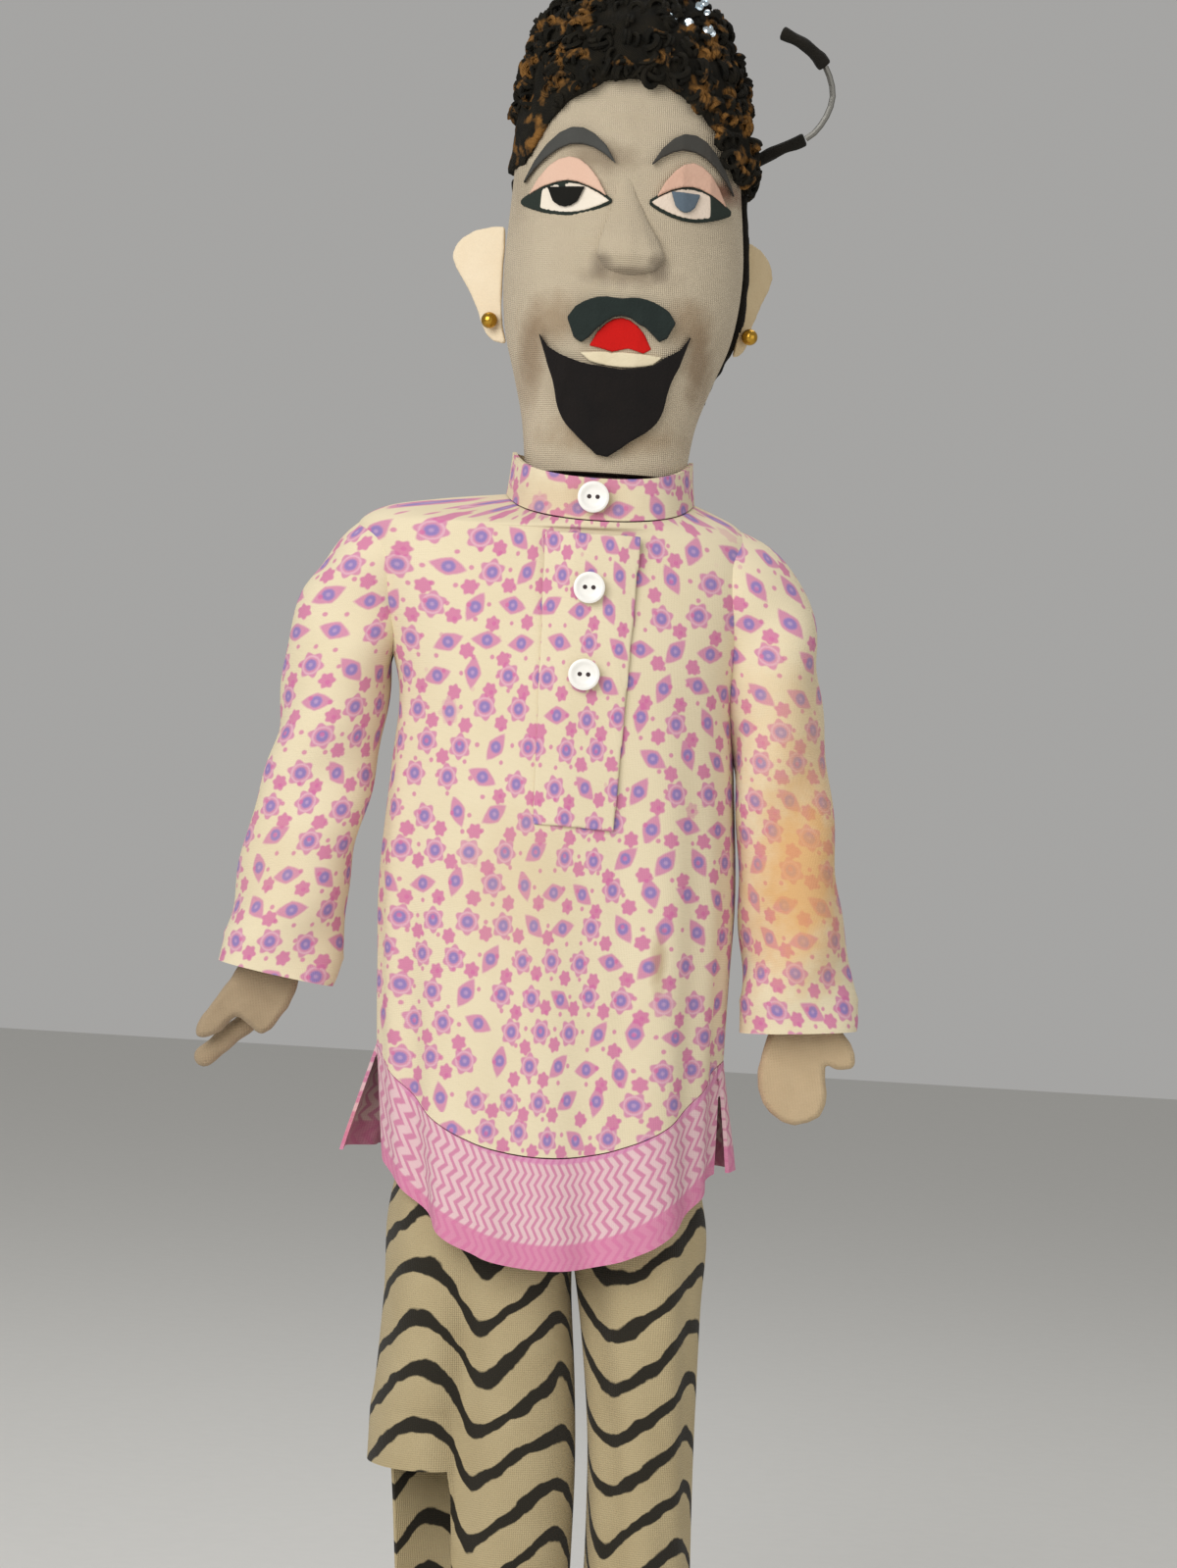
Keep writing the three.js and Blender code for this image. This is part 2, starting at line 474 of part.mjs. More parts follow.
for (const [side, leg] of [['right', RIGHT_LIMB], ['left', LEFT_LIMB]]) {
  piece(`thigh_${side}`, limb(leg.hip, leg.knee, THIGH_RADIUS, 15, 13, SHIN_RADIUS + 0.5), '#C4B18C');
  piece(`shin_${side}`, limb(leg.knee, leg.ankle, SHIN_RADIUS, 12.5, 10, ANKLE_RADIUS + 0.5), '#C4B18C');
  const ankle = new THREE.SphereGeometry(ANKLE_RADIUS, 12, 8);
  const sole = new THREE.SphereGeometry(1, 14, 10);
  sole.scale(11, 23, 9);
  sole.translate(0, -12, -17);
  const shank = new THREE.CylinderGeometry(8, 8, 16, 12);
  shank.rotateX(Math.PI / 2);
  shank.translate(0, 0, -8);
  const foot = solid(ankle).add(solid(shank)).add(solid(sole)).translate([leg.ankle[0], 0, leg.ankle[1]]);
  piece(`foot_${side}`, shape(foot), '#CDB591');
}

export default group;
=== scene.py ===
"""Looks of a hanging stuffed cloth puppet: felt face, yarn hair, printed kurta and striped trousers."""

import json
import logging
import math
import random
from dataclasses import dataclass, field
from enum import Enum
from typing import Callable, Sequence

import bmesh
import bpy
from mathutils import Matrix, Vector

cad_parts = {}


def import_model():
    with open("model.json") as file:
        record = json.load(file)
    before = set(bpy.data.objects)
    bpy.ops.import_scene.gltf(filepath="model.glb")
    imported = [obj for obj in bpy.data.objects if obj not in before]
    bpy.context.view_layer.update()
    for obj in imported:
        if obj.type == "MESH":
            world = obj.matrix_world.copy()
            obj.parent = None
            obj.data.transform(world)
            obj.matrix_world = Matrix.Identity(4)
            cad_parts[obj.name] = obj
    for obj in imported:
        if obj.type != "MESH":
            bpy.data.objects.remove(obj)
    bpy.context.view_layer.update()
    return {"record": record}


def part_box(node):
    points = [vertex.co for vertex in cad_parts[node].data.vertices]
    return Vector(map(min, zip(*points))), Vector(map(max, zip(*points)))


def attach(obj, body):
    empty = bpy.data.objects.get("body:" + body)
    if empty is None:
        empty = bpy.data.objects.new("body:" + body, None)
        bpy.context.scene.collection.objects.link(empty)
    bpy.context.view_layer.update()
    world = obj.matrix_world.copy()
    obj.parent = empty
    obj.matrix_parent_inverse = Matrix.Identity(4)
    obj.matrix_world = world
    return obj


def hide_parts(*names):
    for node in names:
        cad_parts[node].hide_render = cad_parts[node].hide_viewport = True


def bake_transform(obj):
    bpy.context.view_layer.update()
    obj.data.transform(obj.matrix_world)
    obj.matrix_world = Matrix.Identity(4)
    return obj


LOG = logging.getLogger("puppet")
MM = 0.001
SIDES = ("right", "left")

# The photograph: its scale, its roll, and the point of the puppet's plane at its centre
PHOTO_WIDTH_MM = 420.0
PHOTO_HEIGHT_MM = 559.65
PHOTO_ROLL_DEG = 3.5
PHOTO_CENTRE_X = 3.0
PHOTO_CENTRE_Z = -292.6
FRONT_PLANE_Y = -32.0
CAMERA_DISTANCE = 1500.0
FLOOR_Z = -0.66

# Sections of the cloth forms in millimetres: height, centre x, half width, half depth
Row = tuple[float, float, float, float]
HEAD: list[Row] = [
    (-6, 2, 7, 7), (-11, 2.4, 18, 17), (-22, 2.8, 28, 27), (-38, 3, 35, 34), (-58, 3.2, 39.5, 38),
    (-82, 3.6, 42, 40), (-106, 4, 43.5, 41), (-128, 4, 41.5, 39), (-146, 3.4, 36, 35),
    (-162, 2.6, 31.5, 30.5), (-181, 2, 29, 28),
]
KURTA: list[Row] = [
    (-189, 1, 34.5, 34.5), (-192, -7, 50, 35), (-196, -13, 64, 34.5), (-203, -14.5, 72, 34), (-213, -13, 72.5, 35),
    (-228, -10.5, 68.5, 37), (-246, -8.5, 63.5, 39), (-264, -7, 60.5, 40), (-290, -6.5, 62, 40),
    (-330, -6, 64, 39.5), (-362, -5.5, 63, 39.5), (-390, -5, 62, 40),
]
SEAT: list[Row] = [(-392, -5, 55, 32), (-415, -5, 55, 30), (-440, -4, 54, 26)]
RIGHT_LEG: list[Row] = [
    (-424, -28.5, 27, 24), (-440, -28, 30.5, 25), (-456, -27, 33.5, 26.5), (-480, -26, 34, 27), (-510, -25, 36, 26), (-540, -24.5, 37.5, 25),
    (-570, -24.5, 38, 24), (-604, -24.5, 38, 24),
]
LEFT_LEG: list[Row] = [
    (-424, 20, 29, 25), (-440, 26, 27, 25.5), (-456, 31, 24.5, 26), (-480, 33, 21.5, 25), (-510, 35, 19.5, 23), (-540, 36.5, 18.5, 21),
    (-575, 38, 18.5, 20), (-604, 39, 19.5, 20),
]
RIGHT_SLEEVE: list[Row] = [
    (-64, -206, 14, 18), (-79, -219, 18, 20), (-87, -238, 19.5, 20), (-90.5, -260, 19.5, 20), (-93.5, -283, 19, 19),
    (-97, -305, 19.5, 18.5), (-101, -330, 20, 18), (-104, -350, 21, 18), (-107, -368, 21.5, 18),
]
LEFT_SLEEVE: list[Row] = [
    (42, -208, 14, 18), (56, -219, 17.5, 20), (64, -236, 19, 20), (68, -258, 18, 19.5), (71.5, -283, 17.2, 18.5),
    (76, -310, 17.5, 18), (80, -335, 18.5, 18), (82.5, -358, 20, 18), (84, -378, 21.5, 18),
]
HEM_Z = -430.0
FRONT_HEM_DROP = 36.0
CLOTH_WALL = 1.3
COLLAR_HEIGHT = 16.0


class Surface(Enum):
    """Kinds of shading that the pieces use."""

    WOVEN = "woven"
    FELT = "felt"
    METAL = "metal"


@dataclass(frozen=True)
class Finish:
    """Colour and touch of one material."""

    name: str
    colour: str
    second: str
    surface: Surface = Surface.WOVEN
    roughness: float = 0.9
    grain_mm: float = 0.55
    bump: float = 0.35
    mottle: float = 0.35


def linear(hex_colour: str) -> tuple[float, float, float, float]:
    """Turns an sRGB hex colour into Blender's linear values.

    Args:
        hex_colour: six hexadecimal digits, with or without a hash.
    Returns:
        Red, green, blue and alpha in linear light.
    """
    digits = hex_colour.lstrip("#")
    parts = [int(digits[i:i + 2], 16) / 255 for i in (0, 2, 4)]
    return (*[p / 12.92 if p <= 0.04045 else ((p + 0.055) / 1.055) ** 2.4 for p in parts], 1.0)


class Wire:
    """A number flowing through a shader tree, with ordinary arithmetic."""

    def __init__(self, tree: bpy.types.NodeTree, socket: bpy.types.NodeSocket | float) -> None:
        self.tree = tree
        self.socket = socket

    def node(self, operation: str, *others: "Wire | float") -> "Wire":
        """Adds one Math node fed by this wire and the others."""
        maths = self.tree.nodes.new("ShaderNodeMath")
        maths.operation = operation
        for slot, value in zip(maths.inputs, (self, *others)):
            value = value.socket if isinstance(value, Wire) else value
            if isinstance(value, (int, float)):
                slot.default_value = value
            else:
                self.tree.links.new(value, slot)
        return Wire(self.tree, maths.outputs[0])

    def __add__(self, other: "Wire | float") -> "Wire":
        return self.node("ADD", other)

    __radd__ = __add__

    def __sub__(self, other: "Wire | float") -> "Wire":
        return self.node("SUBTRACT", other)

    def __rsub__(self, other: float) -> "Wire":
        return Wire(self.tree, other).node("SUBTRACT", self)

    def __mul__(self, other: "Wire | float") -> "Wire":
        return self.node("MULTIPLY", other)

    __rmul__ = __mul__

    def __truediv__(self, other: "Wire | float") -> "Wire":
        return self.node("DIVIDE", other)

    def sin(self) -> "Wire":
        return self.node("SINE")

    def cos(self) -> "Wire":
        return self.node("COSINE")

    def floor(self) -> "Wire":
        return self.node("FLOOR")

    def fract(self) -> "Wire":
        return self.node("FRACT")

    def size(self) -> "Wire":
        return self.node("ABSOLUTE")

    def root(self) -> "Wire":
        return self.node("SQRT")

    def below(self, edge: "Wire | float", soft: float) -> "Wire":
        """1 where this is under the edge and 0 above it, over a soft band."""
        return ((edge - self) / (2 * soft) + 0.5).clamp() if isinstance(edge, Wire) else \
            (((self * -1) + edge) / (2 * soft) + 0.5).clamp()

    def clamp(self) -> "Wire":
        return self.node("MINIMUM", 1.0).node("MAXIMUM", 0.0)


class Paint:
    """Builds one procedural material."""

    def __init__(self, name: str) -> None:
        self.material = bpy.data.materials.new(name)
        self.material.use_nodes = True
        self.tree = self.material.node_tree
        self.shader = self.tree.nodes["Principled BSDF"]
        place = self.tree.nodes.new("ShaderNodeAttribute")
        place.attribute_name = "rest"
        scale = self.tree.nodes.new("ShaderNodeVectorMath")
        scale.operation = "SCALE"
        scale.inputs["Scale"].default_value = 1000.0
        self.tree.links.new(place.outputs["Vector"], scale.inputs[0])
        split = self.tree.nodes.new("ShaderNodeSeparateXYZ")
        self.tree.links.new(scale.outputs[0], split.inputs[0])
        self.place = scale.outputs[0]
        self.x, self.y, self.z = (Wire(self.tree, split.outputs[i]) for i in range(3))

    def noise(self, period_mm: float, detail: float = 3.0, seed: float = 0.0) -> Wire:
        """Smooth noise from 0 to 1 with features of about that many millimetres."""
        shift = self.tree.nodes.new("ShaderNodeVectorMath")
        shift.inputs[1].default_value = (seed * 17.3, seed * 5.1, seed * 9.7)
        self.tree.links.new(self.place, shift.inputs[0])
        noise = self.tree.nodes.new("ShaderNodeTexNoise")
        noise.inputs["Scale"].default_value = 1.0 / period_mm
        noise.inputs["Detail"].default_value = detail
        self.tree.links.new(shift.outputs[0], noise.inputs["Vector"])
        return Wire(self.tree, noise.outputs["Fac"])

    def mix(self, amount: Wire, first, second):
        """Blends two colours, each a hex text or a socket."""
        node = self.tree.nodes.new("ShaderNodeMix")
        node.data_type = "RGBA"
        self.tree.links.new(amount.socket, node.inputs["Factor"])
        for slot, value in ((6, first), (7, second)):
            if isinstance(value, str):
                node.inputs[slot].default_value = linear(value)
            else:
                self.tree.links.new(value, node.inputs[slot])
        return node.outputs[2]

    def spot(self, x: float, z: float, radius_x: float, radius_z: float, seed: float) -> Wire:
        """A ragged soft mark seen from the front, 1 at its middle, used both for real soiling and for painted shade.
        """
        dx = (self.x - x) / radius_x
        dz = (self.z - z) / radius_z
        reach = (dx * dx + dz * dz).root() + (self.noise(6, 4, seed) - 0.5) * 0.9
        return reach.below(0.8, 0.45) * self.y.below(0.0, 8.0)

    def finish(self, colour, height: Wire | None, finish: Finish, sheen: float = 0.0, depth_mm: float = 0.4) -> bpy.types.Material:
        """Connects the colour and the surface relief and returns the material."""
        self.tree.links.new(colour, self.shader.inputs["Base Color"])
        self.shader.inputs["Roughness"].default_value = finish.roughness
        self.shader.inputs["Metallic"].default_value = 1.0 if finish.surface is Surface.METAL else 0.0
        self.shader.inputs["Sheen Weight"].default_value = sheen
        if finish.surface is not Surface.METAL:
            self.shader.inputs["Specular IOR Level"].default_value = 0.2
        self.shader.inputs["Sheen Roughness"].default_value = 0.6
        if height is not None:
            bump = self.tree.nodes.new("ShaderNodeBump")
            bump.inputs["Strength"].default_value = finish.bump
            bump.inputs["Distance"].default_value = depth_mm * MM
            self.tree.links.new(height.socket, bump.inputs["Height"])
            self.tree.links.new(bump.outputs[0], self.shader.inputs["Normal"])
        return self.material


def weave(paint: Paint, u: Wire, v: Wire, grain_mm: float) -> Wire:
    """Height of a plain weave with that thread spacing."""
    turn = 2 * math.pi / grain_mm
    return (u * turn).sin() * 0.5 + (v * turn).sin() * 0.5 + paint.noise(1.4, 4, 3) * 0.8


def plain(finish: Finish) -> bpy.types.Material:
    """A material of one mottled colour: woven cloth, felt or metal."""
    paint = Paint(finish.name)
    colour = paint.mix((paint.noise(9, 5, 1) - 0.3) * (finish.mottle * 2), finish.colour, finish.second)
    if finish.surface is Surface.FELT:
        height = paint.noise(0.9, 6, 2) + paint.noise(3.2, 3, 5) * 0.8
        return paint.finish(colour, height, finish, sheen=0.03, depth_mm=0.7)
    if finish.surface is Surface.METAL:
        return paint.finish(colour, paint.noise(2.0, 4, 2), finish, depth_mm=0.1)
    return paint.finish(colour, weave(paint, paint.x, paint.z, finish.grain_mm), finish, sheen=0.1)


@dataclass(frozen=True)
class StainOrShadeMark:
    """A mark on the front of a cloth, used both for real soiling and for painted shade: place, size and strength."""

    x: float
    z: float
    rx: float
    rz: float
    strength: float
    colour: str = "#6E4A2C"


# Marks on the face cloth: glue marks round the brows are real; the marks under the nose and round the mouth and beard
# are painted shade.
FACE_STAINS_AND_SHADE = (
    StainOrShadeMark(-20, -128, 11, 9, 0.5, "#8A6A46"), StainOrShadeMark(29, -127, 9, 9, 0.5, "#8A6A46"), StainOrShadeMark(-27, -140, 5, 16, 0.55, "#7A5A38"),
    StainOrShadeMark(33, -140, 5, 15, 0.6, "#7A5A38"), StainOrShadeMark(4, -168, 24, 7, 0.55, "#8F714C"), StainOrShadeMark(4, -146, 12, 3, 0.5, "#6E4A2C"),
    StainOrShadeMark(34, -78, 15, 5, 0.9, "#7A4A34"), StainOrShadeMark(-6, -70, 13, 6, 0.6, "#84705A"), StainOrShadeMark(6, -112, 17, 4, 0.45, "#6F5A48"),
    StainOrShadeMark(-4, -108, 4, 5, 0.5, "#5F4E42"), StainOrShadeMark(17, -108, 4, 5, 0.5, "#5F4E42"), StainOrShadeMark(-34, -82, 4, 12, 0.3, "#86755E"),
)
KURTA_STAINS = (StainOrShadeMark(32, -355, 3, 12, 0.55, "#9A7A52"), StainOrShadeMark(-20, -330, 22, 30, 0.18, "#C9A878"))
SLEEVE_STAINS = (StainOrShadeMark(82, -320, 22, 42, 0.75, "#D9A05A"), StainOrShadeMark(76, -270, 20, 30, 0.35, "#DDB27A"))


def lay_stains_and_shade(paint: Paint, colour, stain_and_shade_marks: Sequence[StainOrShadeMark]):
    """Lays each mark over a colour: real soiling, and painted shade on the face and collar."""
    for i, mark in enumerate(stain_and_shade_marks):
        colour = paint.mix(paint.spot(mark.x, mark.z, mark.rx, mark.rz, i + 2.0) * mark.strength, colour, mark.colour)
    return colour


def muslin_material() -> bpy.types.Material:
    """The head's plain cloth, yellowed, with glue marks round the brows and painted shade under the nose and round
    the mouth and beard.
    """
    finish = Finish("muslin", "#CCBDA3", "#AF9F86", bump=0.6)
    paint = Paint(finish.name)
    colour = paint.mix((paint.noise(16, 5, 1) - 0.25) * 0.9, finish.colour, finish.second)
    # Lays the face marks: glue marks at the brows, and painted shade under the nose and round the mouth and beard.
    colour = lay_stains_and_shade(paint, colour, FACE_STAINS_AND_SHADE)
    return paint.finish(colour, weave(paint, paint.x, paint.z, 0.7), finish, sheen=0.1)


def print_colour(paint: Paint, u: Wire, v: Wire, ground: str):
    """A block print of small flowers, leaves and dots, one motif to a staggered cell."""
    colour = paint.mix((paint.noise(30, 4, 1) - 0.3) * 0.6, ground, "#D0C096")
    wobble = (paint.noise(2.2, 2, 7) - 0.5) * 1.1

    def cells(pitch_u: float, pitch_v: float, shift_u: float, shift_v: float, seed: float):
        row = ((v + shift_v) / pitch_v).floor()
        odd = (row * 0.5).fract() * 2
        across = (u + shift_u) / pitch_u + odd * 0.5 + (row * 0.618).fract() * 0.3
        column = across.floor()
        chance = ((column * 12.99 + row * 78.23 + seed).sin() * 437.58).fract()
        local_u = (across.fract() - 0.5) * pitch_u
        stray = ((chance * 7.31).fract() - 0.5) * (pitch_v * 0.22)
        local_v = (((v + shift_v) / pitch_v).fract() - 0.5) * pitch_v + stray
        turn = chance * 6.283
        side = local_u * turn.cos() + local_v * turn.sin()
        up = local_v * turn.cos() - local_u * turn.sin()
        return chance, side, up

    def flower(side: Wire, up: Wire, radius: float, petals: int, dent: float) -> Wire:
        angle = up.node("ARCTAN2", side)
        reach = (side * side + up * up).root() + wobble * 0.5
        edge = ((angle * petals).cos() * dent + 1) * radius
        return reach.below(edge, 0.35)

    def near(side: Wire, up: Wire) -> Wire:
        return (side * side + up * up).root() + wobble * 0.4

    chance, side, up = cells(14.5, 12.5, 0, 0, 1.0)
    is_flower = chance.below(0.52, 0.01)
    leaf_reach = (side.size() / 3.3).node("POWER", 1.25) + (up.size() / 5.8).node("POWER", 1.25) + wobble * 0.15
    colour = paint.mix(flower(side, up, 4.4, 6, 0.14) * is_flower * 0.8, colour, "#CE76A6")
    colour = paint.mix(leaf_reach.below(1.0, 0.14) * (1 - is_flower) * 0.8, colour, "#CE76A6")
    ring = (near(side, up) - 3.2).size().below(0.35, 0.25)
    colour = paint.mix(ring * is_flower * 0.5, colour, "#E8C6CC")
    colour = paint.mix(near(side, up).below(2.1, 0.4) * 0.8, colour, "#7D79B9")
    colour = paint.mix(near(side, up).below(0.7, 0.3) * 0.6, colour, "#C9A4C6")
    chance, side, up = cells(14.5, 12.5, 7.25, 5.2, 4.0)
    colour = paint.mix(flower(side, up, 2.7, 6, 0.12) * chance.below(0.8, 0.01) * 0.85, colour, "#CF6E9F")
    chance, side, up = cells(7.25, 6.25, 3.2, 2.6, 9.0)
    dots = near(side, up).below(0.85, 0.25) * chance.below(0.55, 0.01)
    return paint.mix(dots * 0.75, colour, "#CF6E9F")


def round_coordinates(paint: Paint, axis_x: Wire | float, radius: float) -> tuple[Wire, Wire]:
    """Coordinates in millimetres round a hanging tube: along its girth, and up."""
    across = paint.x - axis_x
    angle = across.node("ARCTAN2", paint.y * -1)
    return angle * radius, paint.z


def print_material(name: str, axis: Callable[[Paint], "Wire | float"], radius: float, stain_and_shade_marks: Sequence[StainOrShadeMark],
                   zigzag: bool = False) -> bpy.types.Material:
    """Printed cotton wrapped round one tube of the kurta."""
    finish = Finish(name, "#E6D8B8", "#D3C29A", bump=0.3, roughness=0.85)
    paint = Paint(name)
    u, v = round_coordinates(paint, axis(paint), radius)
    if not zigzag:
        colour = print_colour(paint, u, v, finish.colour)
    else:
        drop = paint.x * 0.0
        front = paint.y.below(-2.0, 1.0)
        lean = (paint.x + 4) / 62
        drop = front * (1 - lean * lean).node("MAXIMUM", 0.0).node("POWER", 0.75) * FRONT_HEM_DROP
        level = paint.z + drop - HEM_Z
        zig = (((level / 7.5).fract() - 0.5).size() * 5.2)
        lines = (((u + zig) / 3.6).fract() - 0.5).size().below(0.21 + (paint.noise(2, 3, 8) - 0.5) * 0.12, 0.07)
        colour = paint.mix((paint.noise(12, 3, 1) - 0.3) * 0.5, "#E3C2C4", "#D9A6B4")
        colour = paint.mix(lines * 0.75, colour, "#C96B98")
        solid = level.below(9.0, 0.4) + level.size().below(0.1, 0.1)
        colour = paint.mix(solid.clamp() * 0.8, colour, "#D57BA2")
        colour = paint.mix((level - 39.0).size().below(1.4, 0.4) * 0.7, colour, "#D37FAE")
    colour = lay_stains_and_shade(paint, colour, stain_and_shade_marks)
    return paint.finish(colour, weave(paint, u, v, 0.6), finish, sheen=0.08, depth_mm=0.25)


def stripe_material(name: str, axis: Callable[[Paint], "Wire | float"], radius: float, phase: float) -> bpy.types.Material:
    """Khaki cotton with black brushed waves running round the leg."""
    finish = Finish(name, "#BBAA84", "#A3906A", bump=0.4)
    paint = Paint(name)
    u, v = round_coordinates(paint, axis(paint), radius)
    drift = (paint.noise(26, 2, 2) - 0.5) * 13 + (paint.noise(7, 3, 4) - 0.5) * 3.2
    wave = (u * (2 * math.pi / 62) + phase).sin() * 10.5 + (u * (2 * math.pi / 31) + phase * 2).sin() * 1.4
    lane = (((v + wave + drift) / 19.5).fract() - 0.5).size() * 19.5
    width = paint.noise(11, 3, 6) * 3.0 + 1.3
    black = lane.below(width, 0.35)
    colour = paint.mix((paint.noise(18, 5, 1) - 0.25) * 0.8, finish.colour, finish.second)
    colour = paint.mix(black * 0.97, colour, "#15130F")
    return paint.finish(colour, weave(paint, u, v, 0.8), finish, sheen=0.08)


def yarn_material() -> bpy.types.Material:
    """Black-olive yarn with ochre streaks."""
    finish = Finish("hair_yarn", "#100F0A", "#2A2418", bump=0.6)
    paint = Paint(finish.name)
    colour = paint.mix((paint.noise(5, 4, 1) - 0.3) * 1.2, finish.colour, finish.second)
    flank = ((paint.x - 3).size() / 30).clamp()
    streak = ((paint.noise(7.5, 3, 11) - 0.66 + flank * 0.13) * 9).clamp()
    colour = paint.mix(streak * 0.8, colour, "#8F6430")
    twist = ((paint.x + paint.z + paint.y) * 5.5).sin() * 0.5 + paint.noise(0.6, 4, 2)
    return paint.finish(colour, twist, finish, sheen=0.0, depth_mm=0.5)


def interpolate(table: Sequence[Row], steps: int) -> list[Row]:
    """Smooth rows between the given ones, with steps rows for each gap."""
    rows: list[Row] = []
    last = len(table) - 1
    for i in range(last):
        p0, p1, p2, p3 = (table[min(max(i + k, 0), last)] for k in (-1, 0, 1, 2))
        for step in range(steps):
            t = step / steps
            rows.append(tuple(
                0.5 * (2 * b + (c - a) * t + (2 * a - 5 * b + 4 * c - d) * t * t + (3 * b - a - 3 * c + d) * t ** 3)
                for a, b, c, d in zip(p0, p1, p2, p3)))
    rows.append(tuple(table[-1]))
    return rows


def smoothstep(value: float, low: float, high: float) -> float:
    """Rises smoothly from 0 at low to 1 at high."""
    t = min(1.0, max(0.0, (value - low) / (high - low)))
    return t * t * (3 - 2 * t)


Push = Callable[[float, float], float]


def level_ring(row: Row, sides: int, grow: float, fold: Push, drop: Push) -> list[Vector]:
    """A level ring of points with slightly squared sides, in metres."""
    z, cx, a, b = row
    points = []
    for i in range(sides):
        angle = 2 * math.pi * i / sides
        c, s = math.cos(angle), math.sin(angle)
        reach = grow + fold(angle, z)
        x = cx + (a + reach) * math.copysign(abs(c) ** 0.9, c)
        y = (b + reach) * math.copysign(abs(s) ** 0.9, s)
        points.append(Vector((x, y, z - drop(angle, z))) * MM)
    return points


def route_ring(route: Sequence[Row], i: int, sides: int, grow: float, fold: Push) -> list[Vector]:
    """A ring square to a route in the frontal plane, in metres."""
    x, z, a, b = route[i]
    px, pz = route[max(0, i - 1)][:2]
    nx, nz = route[min(len(route) - 1, i + 1)][:2]
    along = math.hypot(nx - px, nz - pz)
    tx, tz = (nx - px) / along, (nz - pz) / along
    points = []
    for k in range(sides):
        angle = 2 * math.pi * k / sides
        reach = grow + fold(angle, i)
        u = (a + reach) * math.cos(angle)
        v = (b + reach) * math.sin(angle)
        points.append(Vector((x - u * tz, v, z + u * tx)) * MM)
    return points


def skin(name: str, rings: Sequence[Sequence[Vector]], loop: bool, keep: Callable[[Vector], bool] | None = None) -> bpy.types.Object:
    """A mesh object over rings of points: a closed loop of rings, or a stack with round caps.

    Args:
        name: the object's name.
        rings: rings of equally many points.
        loop: True where the last ring joins the first again, as a tube with a wall does.
        keep: where given, faces whose centre it refuses are left out and their rims closed.
    Returns:
        The new object, linked and shaded smooth.
    """
    mesh = bmesh.new()
    rows = [[mesh.verts.new(p) for p in ring] for ring in rings]
    count = len(rows[0])
    for r in range(len(rows) if loop else len(rows) - 1):
        here, below = rows[r], rows[(r + 1) % len(rows)]
        for i in range(count):
            j = (i + 1) % count
            mesh.faces.new((here[i], below[i], below[j], here[j]))
    if not loop:
        for ring in (rows[0], rows[-1]):
            hub = mesh.verts.new(sum((v.co for v in ring), Vector()) / count)
            for i in range(count):
                mesh.faces.new((ring[i], ring[(i + 1) % count], hub))
    if keep is not None:
        gone = [f for f in mesh.faces if not keep(f.calc_center_median())]
        bmesh.ops.delete(mesh, geom=gone, context="FACES")
        rims = [e for e in mesh.edges if e.is_boundary]
        filled = bmesh.ops.holes_fill(mesh, edges=rims)
        bmesh.ops.triangulate(mesh, faces=filled["faces"])
    bmesh.ops.recalc_face_normals(mesh, faces=mesh.faces)
    data = bpy.data.meshes.new(name)
    mesh.to_mesh(data)
    mesh.free()
    data.polygons.foreach_set("use_smooth", [True] * len(data.polygons))
    data.set_sharp_from_angle(angle=math.radians(50))
    obj = bpy.data.objects.new(name, data)
    bpy.context.scene.collection.objects.link(obj)
    return obj


def bake(obj: bpy.types.Object) -> bpy.types.Object:
    """Applies every modifier of an object to its mesh."""
    evaluated = obj.evaluated_get(bpy.context.evaluated_depsgraph_get())
    mesh = bpy.data.meshes.new_from_object(evaluated)
    obj.modifiers.clear()
    obj.data = mesh
    return obj


def softened(node: str, voxel_mm: float, smoothing: int, lump_mm: float = 0.0, seed: int = 1) -> bpy.types.Object:
    """A soft copy of a CAD node: remeshed finely, its edges rounded and its skin slightly uneven."""
    source = bpy.data.objects[node]
    obj = bpy.data.objects.new(f"{node}_soft", source.data.copy())
    obj.data.materials.clear()
    bpy.context.scene.collection.objects.link(obj)
    obj.data.transform(source.matrix_world)
    remesh = obj.modifiers.new("remesh", "REMESH")
    remesh.mode = "VOXEL"
    remesh.voxel_size = voxel_mm * MM
    smooth = obj.modifiers.new("smooth", "SMOOTH")
    smooth.iterations = smoothing
    smooth.factor = 0.5
    bake(obj)
    if lump_mm:
        chance = random.Random(seed)
        shift = Vector((chance.random(), chance.random(), chance.random())) * 10
        from mathutils import noise
        normals = [v.normal.copy() for v in obj.data.vertices]
        for vertex, normal in zip(obj.data.vertices, normals):
            vertex.co += normal * (noise.noise(vertex.co * 160 + shift) * lump_mm * MM)
    obj.data.polygons.foreach_set("use_smooth", [True] * len(obj.data.polygons))
    return obj


def keep_rest(obj: bpy.types.Object) -> None:
    """Stores where each point is at rest, so that a print stays on the cloth as it bends."""
    rest = obj.data.attributes.new("rest", "FLOAT_VECTOR", "POINT")
    rest.data.foreach_set("vector", [c for v in obj.data.vertices for c in v.co])


def dress(obj: bpy.types.Object, material: bpy.types.Material, body: str | None, slot: str, *nodes: str) -> bpy.types.Object:
    """Gives a piece its material and body, and hides the nodes that it stands for."""
    obj.data.materials.clear()
    obj.data.materials.append(material)
    keep_rest(obj)
    if body is not None:
        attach(obj, body)
    if nodes:
        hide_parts(*nodes)
    return obj


